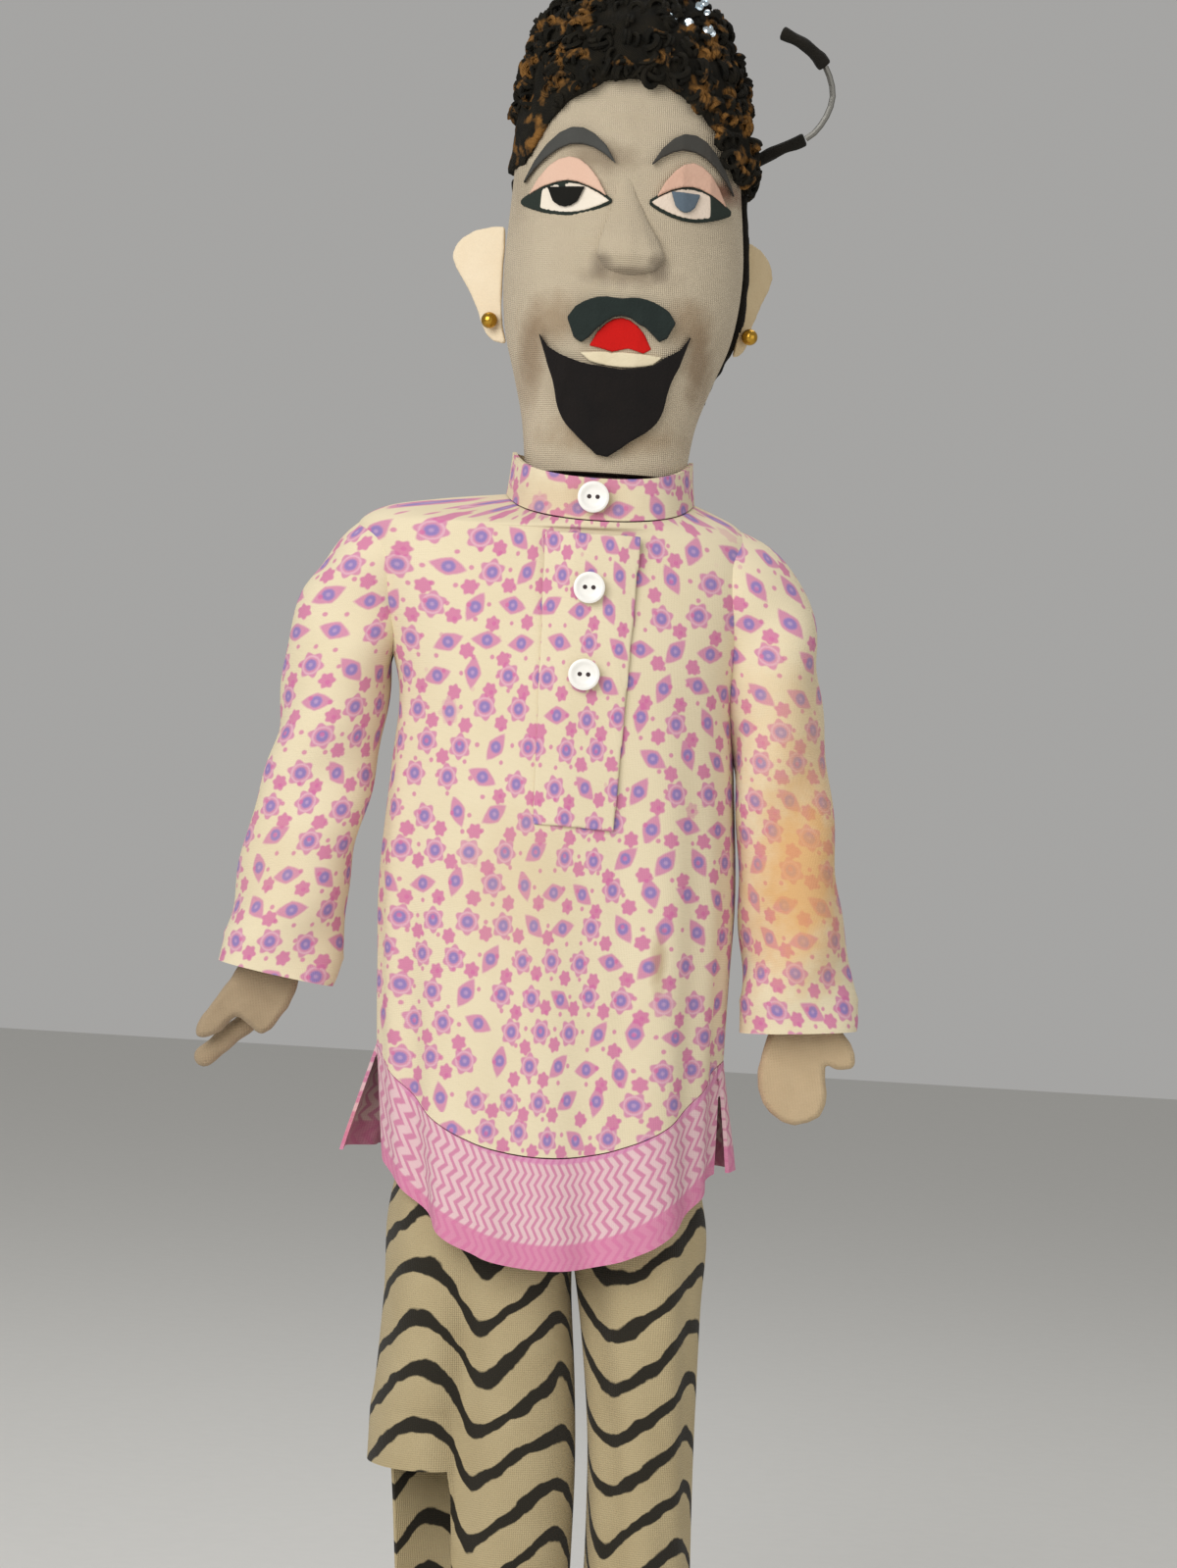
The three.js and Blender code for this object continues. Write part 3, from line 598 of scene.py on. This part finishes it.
@dataclass
class Head:
    """The stuffed head with its felt face, ears, hair and wire."""

    muslin: bpy.types.Material
    felts: dict[str, Finish] = field(default_factory=lambda: {
        "brow_right": Finish("grey_felt", "#4A4A47", "#35342F", Surface.FELT),
        "brow_left": Finish("grey_felt_left", "#44433F", "#3A2C22", Surface.FELT),
        "eyelid_right": Finish("pink_felt", "#DDB9A3", "#CFA58E", Surface.FELT),
        "eyelid_left": Finish("pink_felt_left", "#D6AF99", "#BC8C76", Surface.FELT),
        "eye_white_right": Finish("cream_felt", "#EADFCF", "#DCCFB8", Surface.FELT),
        "eye_white_left": Finish("cream_felt_left", "#E4D3C2", "#D3BEA6", Surface.FELT),
        "pupil_right": Finish("black_felt", "#12110D", "#1E1C16", Surface.FELT),
        "pupil_left": Finish("blue_grey_felt", "#5E6C78", "#3E4347", Surface.FELT),
        "mouth": Finish("red_felt", "#C8140F", "#A80E0C", Surface.FELT),
        "lower_lip": Finish("lip_felt", "#E0D3B4", "#C9B48C", Surface.FELT),
        "moustache": Finish("green_black_felt", "#252E2B", "#151A18", Surface.FELT, bump=0.8),
        "beard": Finish("beard_felt", "#141110", "#241C18", Surface.FELT, bump=0.6),
        "ear_right": Finish("ear_felt", "#EAD9BC", "#DFC7A2", Surface.FELT),
        "ear_left": Finish("ear_felt_left", "#D2BD97", "#BCA27A", Surface.FELT),
    })

    def build(self) -> None:
        """Makes every piece of the head."""
        rows = interpolate(HEAD, 6)

        def dimple(angle: float, z: float) -> float:
            return 0.5 * math.sin(3 * angle + z / 19) * smoothstep(-z, 20, 60)

        head = skin("head_cloth", [level_ring(r, 72, 0.0, dimple, lambda a, z: 0.0) for r in rows], False)
        dress(head, self.muslin, "head", "muslin", "head")
        nose = softened("nose", 0.8, 8, 0.3)
        top = max(v.co.z for v in nose.data.vertices)
        for vertex in nose.data.vertices:
            vertex.co.z = top + (vertex.co.z - top) * 0.88
            vertex.co.y = -0.036 + (vertex.co.y + 0.036) * 0.72
        dress(nose, self.muslin, "head", "muslin", "nose")
        for node, finish in self.felts.items():
            rounded = node.startswith("ear")
            piece = softened(node, 0.6 if rounded else 0.45, 26 if rounded else 3, 0.15)
            if node == "beard":
                self.fill_out(piece)
            if node.startswith("ear"):
                shift = 4.4 if node == "ear_right" else -2.6
                piece.data.transform(Matrix.Translation((shift * MM, 0, 0)))
            if node.startswith("eye_white"):
                self.outline(node)
            dress(piece, plain(finish), "head", SLOT_OF[node], node)
        self.studs()
        self.hair()
        wire = bpy.data.objects["wire_curl"]
        wire.data.materials.clear()
        wire.data.materials.append(plain(Finish("bare_wire", "#8C8A84", "#5C5A55", Surface.METAL, roughness=0.45)))
        wrap = plain(Finish("wire_wrap", "#16140F", "#2A241C", Surface.FELT, bump=0.9))
        for node in ("wire_wrap_root", "wire_wrap_tip"):
            dress(softened(node, 0.5, 4, 0.7, 5), wrap, "head", "dark_cloth", node)

    @staticmethod
    def outline(node: str) -> None:
        """A thin dark felt rim behind an eye's white."""
        rim = softened(node, 0.45, 3)
        normals = [v.normal.copy() for v in rim.data.vertices]
        for vertex, normal in zip(rim.data.vertices, normals):
            vertex.co += Vector((normal.x * 1.1, 0.45, normal.z * 1.1)) * MM
        dress(rim, plain(Finish(f"{node}_rim", "#2A322C", "#1B201C", Surface.FELT)), "head", "black_felt")

    @staticmethod
    def fill_out(piece: bpy.types.Object) -> None:
        """Swells the beard's sides below the mouth, which are rounder than the cut felt's."""
        for vertex in piece.data.vertices:
            x, z = vertex.co.x / MM - 2.5, vertex.co.z / MM
            swell = math.exp(-((z + 162) / 9.5) ** 2)
            vertex.co.x += min(abs(x) / 9, 1.0) * (5.0 if x > 0 else -3.5) * swell * MM
            vertex.co.y += (min(abs(x) / 14, 1.0) ** 2) * 1.6 * swell * MM

    def studs(self) -> None:
        """Brass balls on the ear lobes."""
        brass = plain(Finish("brass_stud", "#C79A3C", "#A37A2A", Surface.METAL, roughness=0.25))
        for side in SIDES:
            low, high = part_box(f"ear_stud_{side}")
            centre = (Vector(low) + Vector(high)) / 2 + Vector((4.0 if side == "right" else -2.4, 0, 0)) * MM
            mesh = bmesh.new()
            bmesh.ops.create_icosphere(mesh, subdivisions=4, radius=3 * MM, matrix=Matrix.Translation(centre))
            data = bpy.data.meshes.new(f"stud_{side}")
            mesh.to_mesh(data)
            mesh.free()
            data.polygons.foreach_set("use_smooth", [True] * len(data.polygons))
            ball = bpy.data.objects.new(f"stud_{side}", data)
            bpy.context.scene.collection.objects.link(ball)
            dress(ball, brass, "head", "brass", f"ear_stud_{side}")

    def hair(self) -> None:
        """A felt base under hundreds of small yarn curls, and the dark backing behind the head."""
        yarn = yarn_material()
        cap = softened("hair_cap", 1.6, 4, 1.0, 3)
        for vertex in cap.data.vertices:
            if vertex.co.x < 0:
                vertex.co.x += 3.4 * MM * smoothstep(-vertex.co.z / MM, 20, 60)
        curls = curled_over(cap, yarn)
        dress(cap, yarn, "head", "hair_yarn", "hair_cap")
        dress(curls, yarn, "head", "hair_yarn")
        self.spangles()
        backing = softened("back_hair", 1.6, 4, 0.8, 4)
        for vertex in backing.data.vertices:
            if vertex.co.x < 0:
                vertex.co.x += 8 * MM * smoothstep(-vertex.co.z / MM, 60, 100)
            if vertex.co.z < -0.12:
                vertex.co.z = -0.12 + (vertex.co.z + 0.12) * 0.7
        dress(backing, plain(Finish("dark_backing", "#17140F", "#26201A", Surface.FELT, bump=0.9)), "head", "dark_cloth", "back_hair")


    @staticmethod
    def spangles() -> None:
        """A few shiny pale spangles caught in the yarn at the top, on the puppet's left."""
        shine = plain(Finish("spangle", "#DCE6EC", "#8FB4C8", Surface.METAL, roughness=0.2))
        chance = random.Random(11)
        for i in range(16):
            x = chance.uniform(14, 40)
            z = chance.uniform(-24, -2)
            lift = 34 - 0.28 * abs(x - 3) - max(0.0, z + 14) * 1.1
            centre = Vector((x, -lift, z)) * MM
            facing = Vector((chance.uniform(-0.5, 0.5), -1, chance.uniform(-0.2, 0.8))).normalized()
            turn = facing.to_track_quat("Z", "Y").to_matrix()
            size = chance.uniform(1.1, 2.1)
            rings = [[centre + turn @ Vector((r * size * math.cos(a), r * size * math.sin(a), h)) * MM
                      for a in (2 * math.pi * k / 12 for k in range(12))]
                     for r, h in ((1.0, 0.0), (0.5, 0.25), (0.5, 0.1), (1.0, -0.15))]
            disc = skin(f"spangle_{i}", rings, False)
            dress(disc, shine, "head", "hair_yarn")


def curl_mesh() -> bpy.types.Object:
    """One small loop and a half of thick yarn."""
    turns, steps, radius, yarn = 1.4, 20, 2.5 * MM, 0.95 * MM
    rings = []
    for i in range(steps + 1):
        t = i / steps
        angle = 2 * math.pi * turns * t
        centre = Vector((radius * math.cos(angle), radius * math.sin(angle), 2.2 * MM * (t - 0.5)))
        out = Vector((math.cos(angle), math.sin(angle), 0))
        up = Vector((0, 0, 1))
        rings.append([centre + yarn * (out * math.cos(a) + up * math.sin(a)) for a in (2 * math.pi * k / 5 for k in range(5))])
    return skin("curl_source", rings, False)


def curled_over(base: bpy.types.Object, material: bpy.types.Material) -> bpy.types.Object:
    """Scatters yarn curls over a base with Geometry Nodes and returns them as one mesh object."""
    source = curl_mesh()
    group = bpy.data.node_groups.new("curled_yarn", "GeometryNodeTree")
    group.interface.new_socket("Geometry", in_out="INPUT", socket_type="NodeSocketGeometry")
    group.interface.new_socket("Density", in_out="INPUT", socket_type="NodeSocketFloat")
    group.interface.new_socket("Curl", in_out="INPUT", socket_type="NodeSocketObject")
    group.interface.new_socket("Seed", in_out="INPUT", socket_type="NodeSocketInt")
    group.interface.new_socket("Geometry", in_out="OUTPUT", socket_type="NodeSocketGeometry")
    add, link = group.nodes.new, group.links.new
    start, end = add("NodeGroupInput"), add("NodeGroupOutput")
    scatter = add("GeometryNodeDistributePointsOnFaces")
    thing, place, join = add("GeometryNodeObjectInfo"), add("GeometryNodeInstanceOnPoints"), add("GeometryNodeRealizeInstances")
    tilt, size, paint = add("FunctionNodeRandomValue"), add("FunctionNodeRandomValue"), add("GeometryNodeSetMaterial")
    tilt.data_type = "FLOAT_VECTOR"
    tilt.inputs["Max"].default_value = (6.28, 6.28, 6.28)
    size.inputs[2].default_value, size.inputs[3].default_value = 0.75, 1.25
    paint.inputs["Material"].default_value = material
    link(start.outputs["Geometry"], scatter.inputs["Mesh"])
    link(start.outputs["Density"], scatter.inputs["Density"])
    link(start.outputs["Seed"], scatter.inputs["Seed"])
    link(start.outputs["Curl"], thing.inputs["Object"])
    link(scatter.outputs["Points"], place.inputs["Points"])
    link(thing.outputs["Geometry"], place.inputs["Instance"])
    link(tilt.outputs["Value"], place.inputs["Rotation"])
    link(size.outputs[1], place.inputs["Scale"])
    link(place.outputs["Instances"], join.inputs["Geometry"])
    link(join.outputs["Geometry"], paint.inputs["Geometry"])
    link(paint.outputs["Geometry"], end.inputs["Geometry"])
    outer = bpy.data.objects.new("yarn_curls", base.data.copy())
    bpy.context.scene.collection.objects.link(outer)
    mesh = bmesh.new()
    mesh.from_mesh(outer.data)
    centre = Vector((3, 0, -62)) * MM
    inward = [f for f in mesh.faces if f.normal.dot(f.calc_center_median() - centre) < 0
              or (f.calc_center_median().x < -0.022 and f.calc_center_median().z < -0.052)]
    bmesh.ops.delete(mesh, geom=inward, context="FACES")
    mesh.to_mesh(outer.data)
    mesh.free()
    modifier = outer.modifiers.new("curls", "NODES")
    modifier.node_group = group
    values = {"Density": 46000.0, "Curl": source, "Seed": 7}
    for item in group.interface.items_tree:
        if item.in_out == "INPUT" and item.name in values:
            modifier[item.identifier] = values[item.name]
    bake(outer)
    bpy.data.objects.remove(source)
    LOG.info("curls: %d faces", len(outer.data.polygons))
    return outer


SLOT_OF: dict[str, str] = {}


@dataclass
class Kurta:
    """The printed shirt: body, borders, collar, placket, buttons and sleeves."""

    def build(self) -> None:
        """Makes every piece of the kurta."""
        printed = print_material("kurta_print", lambda p: -6.0, 56, KURTA_STAINS)
        self.body(printed)
        self.borders()
        # The brown mark low on the collar's front is a painted shadow under the chin and beard.
        collar_print_and_shadow = print_material("collar_print_and_shadow", lambda p: 1.0, 34, (StainOrShadeMark(-10, -192, 26, 9, 0.25, "#B88A60"),))
        rows = [(-173.5, 1, 32.9, 32.9), (-181, 1, 33.4, 33.4), (-188.5, 1, 34.3, 34.3)]
        collar = self.shell("collar_cloth", interpolate(rows, 6), 96, 1.5, lambda a, z: 0.5 * math.sin(5 * a),
                            self.neck_drop, collar_print_and_shadow, "kurta_print", "collar")
        placket = softened("placket", 0.7, 3)
        dress(placket, print_material("placket_print", lambda p: -3.0, 56, ()), "torso", "kurta_print", "placket")
        for node in ("button_collar", "button_upper", "button_lower"):
            self.button(node)
        for side in SIDES:
            self.sleeve(side)

    @staticmethod
    def neck_drop(angle: float, z: float) -> float:
        """How far the front of the collar sits lower than its sides."""
        return 10 * max(0.0, -math.sin(angle))

    @staticmethod
    def fold(angle: float, z: float) -> float:
        """The body's hanging folds, deeper towards the hem."""
        loose = smoothstep(-z, 215, 400)
        creases = 1.5 * math.sin(6 * angle + 0.8) + 0.7 * math.sin(11 * angle) + 0.5 * math.sin(17 * angle + z / 40)
        pinch = -1.3 * math.exp(-((angle - 5.0 + (z + 300) / 600) / 0.09) ** 2) - 1.0 * math.exp(-((angle - 4.3) / 0.07) ** 2)
        return loose * (creases + pinch)

    @classmethod
    def drop(cls, angle: float, z: float) -> float:
        """How far each point of the body hangs below its row."""
        front = max(0.0, -math.sin(angle))
        hem = smoothstep(-z, 300, 390) * FRONT_HEM_DROP * front ** 1.5
        return hem + 10 * (1 - smoothstep(-z, 189, 205)) * front

    @staticmethod
    def shell(name: str, rows: Sequence[Row], sides: int, wall: float, fold: Push, drop: Push,
              material: bpy.types.Material, slot: str, *nodes: str, keep=None) -> bpy.types.Object:
        """A cloth tube with a wall, riding on the torso."""
        outer = [level_ring(r, sides, 0.0, fold, drop) for r in rows]
        inner = [level_ring(r, sides, -wall, fold, drop) for r in reversed(rows)]
        obj = skin(name, [*outer, *inner], True, keep)
        return dress(obj, material, "torso", slot, *nodes)

    def body(self, printed: bpy.types.Material) -> None:
        """The body tube from the neck to the border."""
        cloth = self.shell("kurta_cloth", interpolate(KURTA, 10), 180, CLOTH_WALL, self.fold, self.drop, printed,
                           "kurta_print", "kurta_body")

    def borders(self) -> None:
        """The two hanging panels of the zigzag border, parted by the side slits."""
        def fold(angle: float, z: float) -> float:
            return self.fold(angle, z) * (1 + 0.7 * smoothstep(-z, 390, 430))

        def drop(angle: float, z: float) -> float:
            front = max(0.0, -math.sin(angle))
            return FRONT_HEM_DROP * front ** 1.5

        ends = {"front": (HEM_Z, -2, 60, 43), "back": (HEM_Z, -8, 70, 45)}
        keeps = {"front": lambda c: c.y < -6 * MM, "back": lambda c: c.y > -4.5 * MM}
        stain_and_shade_marks = {"front": (), "back": (StainOrShadeMark(-70, -420, 14, 12, 0.4, "#E08878"),)}
        for side in ("front", "back"):
            rows = interpolate([(-390.5, -5, 62, 40), ends[side]], 12)
            paint = print_material(f"border_{side}", lambda p: -4.0, 54, stain_and_shade_marks[side], zigzag=True)
            panel = self.shell(f"border_{side}", rows, 180, CLOTH_WALL, fold, drop, paint, "border_print",
                               f"hem_border_{side}", keep=keeps[side])

    def button(self, node: str) -> None:
        """A two-hole shirt button with a raised rim, sewn with dark thread."""
        low, high = (Vector(p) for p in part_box(node))
        centre = (low + high) / 2
        profile = [(0, 0.2), (2.2, 0.2), (3.6, 0.35), (4.3, 1.1), (5.0, 1.2), (5.6, 0.8), (5.6, -0.9), (4.8, -1.2), (0, -1.2)]
        rings = []
        for radius, height in profile:
            rings.append([centre + Vector((max(radius, 0.02) * math.cos(a), -height, max(radius, 0.02) * math.sin(a))) * MM
                          for a in (2 * math.pi * k / 48 for k in range(48))])
        disc = skin(f"{node}_disc", rings, False)
        gloss = plain(Finish(f"{node}_white", "#F4F1EA", "#E6E2DA", Surface.METAL, roughness=0.3, mottle=0.2))
        gloss.node_tree.nodes["Principled BSDF"].inputs["Metallic"].default_value = 0.0
        dress(disc, gloss, "torso", "button_white", node)
        dark = plain(Finish(f"{node}_thread", "#3A3030", "#59484A"))
        for i, side in enumerate((-1, 1)):
            hub = centre + Vector((side * 1.5, -0.32, 0.1)) * MM
            hole = skin(f"{node}_hole_{i}", [[hub + Vector((r * math.cos(a), d, r * math.sin(a))) * MM
                                               for a in (2 * math.pi * k / 16 for k in range(16))]
                                              for r, d in ((0.8, 0.2), (0.8, 0), (0.4, -0.08))], False)
            dress(hole, dark, "torso", "button_white")

    def sleeve(self, side: str) -> None:
        """A full sleeve in two lengths, an upper and a lower."""
        route = interpolate(RIGHT_SLEEVE if side == "right" else LEFT_SLEEVE, 8)
        slope = -0.235 if side == "right" else 0.19
        top_x = (-84, -255) if side == "right" else (63, -257)
        stain_and_shade_marks = SLEEVE_STAINS if side == "left" else (StainOrShadeMark(-110, -330, 14, 20, 0.12, "#C9A878"),)
        paint = print_material(f"sleeve_print_{side}", lambda p: (p.z - top_x[1]) * (-slope) + top_x[0], 20, stain_and_shade_marks)

        def fold(angle: float, i: float) -> float:
            loose = min(1.0, i / 16)
            crease = 1.1 * math.sin(3 * angle + i / 8 * 1.9) + 0.55 * math.sin(2 * angle + i * 0.55)
            pinch = -2.2 * math.exp(-((angle - 3.6) / 0.5) ** 2) * math.exp(-((i - 11) / 2.5) ** 2)
            return loose * crease + pinch + 0.6 * math.exp(-((i - len(route) + 6) / 0.8) ** 2)

        middle = 26
        for name, first, last in (("upper", 0, middle), ("lower", middle, len(route) - 1)):
            span = range(first, last + 1)
            outer = [route_ring(route, i, 96, 0.0, fold) for i in span]
            inner = [route_ring(route, i, 96, -CLOTH_WALL, fold) for i in reversed(span)]
            obj = skin(f"sleeve_{name}_{side}", [*outer, *inner], True)
            nodes = (f"sleeve_{side}",)
            dress(obj, paint, None, "kurta_print", *nodes)
            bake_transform(obj)


@dataclass
class Trousers:
    """The striped trousers: the seat and two uneven legs."""

    def build(self) -> None:
        """Makes the seat and both legs."""
        seat = stripe_material("seat_stripe", lambda p: -5.0, 52, 0.4)
        cloth = Kurta.shell("seat_cloth", interpolate(SEAT, 10), 120, CLOTH_WALL, lambda a, z: 0.8 * math.sin(5 * a),
                            lambda a, z: 0.0, seat, "trouser_stripe", "trouser_seat")
        for side, table in (("right", RIGHT_LEG), ("left", LEFT_LEG)):
            self.leg(side, table)

    @staticmethod
    def right_fold(angle: float, z: float) -> float:
        """The deep fold that parts the right leg's outer lobe from its front."""
        line = math.exp(-(((angle - 4.62) / 0.2) ** 2))
        return -7 * line * smoothstep(-z, 456, 510) + 0.8 * math.sin(5 * angle)

    @staticmethod
    def right_drop(angle: float, z: float) -> float:
        """The outer lobe's hem ends higher than the front's."""
        short = smoothstep(angle, 2.2, 2.5) * (1 - smoothstep(angle, 4.5, 4.66))
        return -61 * short * smoothstep(-z, 500, 604)

    def leg(self, side: str, table: Sequence[Row]) -> None:
        """One leg tube."""
        rows = interpolate(table, 12)
        fold: Push = self.right_fold if side == "right" else (lambda a, z: 0.8 * math.sin(4 * a + 1) + 0.5 * math.sin(7 * a + z / 30))
        drop: Push = self.right_drop if side == "right" else (lambda a, z: 0.0)
        outer = [level_ring(r, 144, 0.0, fold, drop) for r in rows]
        inner = [level_ring(r, 144, -CLOTH_WALL, fold, drop) for r in reversed(rows)]
        obj = skin(f"leg_cloth_{side}", [*outer, *inner], True)
        axis = -24.5 if side == "right" else 36.0
        dress(obj, stripe_material(f"stripe_{side}", lambda p: axis, 34 if side == "right" else 22, 1.1 if side == "right" else 2.6),
              None, "trouser_stripe", f"trouser_leg_{side}")
        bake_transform(obj)


@dataclass
class Limbs:
    """The stuffed torso, arms, hands, legs and feet."""

    def build(self) -> None:
        """Softens every stuffed limb and gives it its cloth."""
        red = plain(Finish("body_cloth", "#4A211C", "#371713"))
        tan = plain(Finish("hand_cloth", "#CDB591", "#B89E78", bump=0.5))
        dull = plain(Finish("hand_cloth_dark", "#B09A7C", "#8F7A5E", bump=0.5))
        leg = plain(Finish("leg_cloth", "#C4B18C", "#AE9A74"))
        pads = [("neck_gusset", "neck_gusset", red, 2.0), ("torso", "torso", red, 3.0)]
        for side in SIDES:
            pads += [(f"upper_arm_{side}", f"upper_arm_{side}", red, 1.6), (f"forearm_{side}", f"forearm_{side}", red, 1.6)]
            pads += [(f"hand_{side}", f"hand_{side}", dull if side == "right" else tan, 0.8)]
            pads += [(f"thigh_{side}", f"thigh_{side}", leg, 2.0), (f"shin_{side}", f"shin_{side}", leg, 2.0)]
            pads += [(f"foot_{side}", f"foot_{side}", tan, 1.2)]
        pads.append(("finger_right", "hand_right", dull, 0.6))
        for node, body, material, voxel in pads:
            piece = softened(node, voxel, 5, 0.5, len(node))
            dress(piece, material, body, SLOT_OF[node], node)


class Studio:
    """Floor, lights and the camera at the photograph's place."""

    def build(self) -> None:
        """Adds the floor, the lights and the camera."""
        self.floor()
        self.light("key", (-0.75, -1.3, 0.35), 1.1, 19.0)
        self.light("fill", (1.1, -1.2, -0.2), 1.4, 5.0)
        self.light("top", (0.1, 0.5, 0.9), 1.0, 6.0)
        world = bpy.data.worlds.new("studio")
        world.use_nodes = True
        world.node_tree.nodes["Background"].inputs[0].default_value = (0.9, 0.89, 0.87, 1)
        world.node_tree.nodes["Background"].inputs[1].default_value = 0.42
        scene = bpy.context.scene
        scene.world = world
        scene.view_settings.view_transform = "Standard"
        self.camera()

    def floor(self) -> None:
        """A plain pale floor."""
        mesh = bmesh.new()
        bmesh.ops.create_grid(mesh, x_segments=2, y_segments=2, size=4.0, matrix=Matrix.Translation((0, 0, FLOOR_Z)))
        data = bpy.data.meshes.new("floor")
        mesh.to_mesh(data)
        mesh.free()
        obj = bpy.data.objects.new("floor", data)
        bpy.context.scene.collection.objects.link(obj)
        keep_rest(obj)
        data.materials.append(plain(Finish("floor_pale", "#D9D8D4", "#D2D1CD", bump=0.05)))

    def light(self, name: str, place: Sequence[float], size: float, watts: float) -> None:
        """A square area light aimed at the puppet's chest."""
        data = bpy.data.lights.new(name, "AREA")
        data.size = size
        data.energy = watts
        obj = bpy.data.objects.new(name, data)
        bpy.context.scene.collection.objects.link(obj)
        obj.location = place
        aim = Vector((0, 0, -0.29)) - Vector(place)
        obj.rotation_euler = aim.to_track_quat("-Z", "Y").to_euler()

    def camera(self) -> None:
        """The camera, square to the puppet's front and rolled as the photograph is."""
        data = bpy.data.cameras.new("camera")
        data.sensor_fit = "VERTICAL"
        data.sensor_height = 36.0
        data.lens = 36.0 * CAMERA_DISTANCE / PHOTO_HEIGHT_MM
        roll = math.radians(PHOTO_ROLL_DEG)
        right = Vector((math.cos(roll), 0, math.sin(roll)))
        up = Vector((-math.sin(roll), 0, math.cos(roll)))
        back = Vector((0, -1, 0))
        place = Vector((PHOTO_CENTRE_X, FRONT_PLANE_Y - CAMERA_DISTANCE, PHOTO_CENTRE_Z)) * MM
        obj = bpy.data.objects.new("camera", data)
        bpy.context.scene.collection.objects.link(obj)
        rotation = Matrix((right, up, back)).transposed().to_4x4()
        obj.matrix_world = Matrix.Translation(place) @ rotation
        bpy.context.scene.camera = obj


def main() -> None:
    """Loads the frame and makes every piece."""
    logging.basicConfig(level=logging.INFO)
    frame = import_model()
    SLOT_OF.update({row["node"]: row["material_slot"] for row in frame["record"]["subparts"]})
    Studio().build()
    Head(muslin_material()).build()
    Limbs().build()
    Kurta().build()
    Trousers().build()
    bpy.context.view_layer.update()


if __name__ == "__main__":
    main()
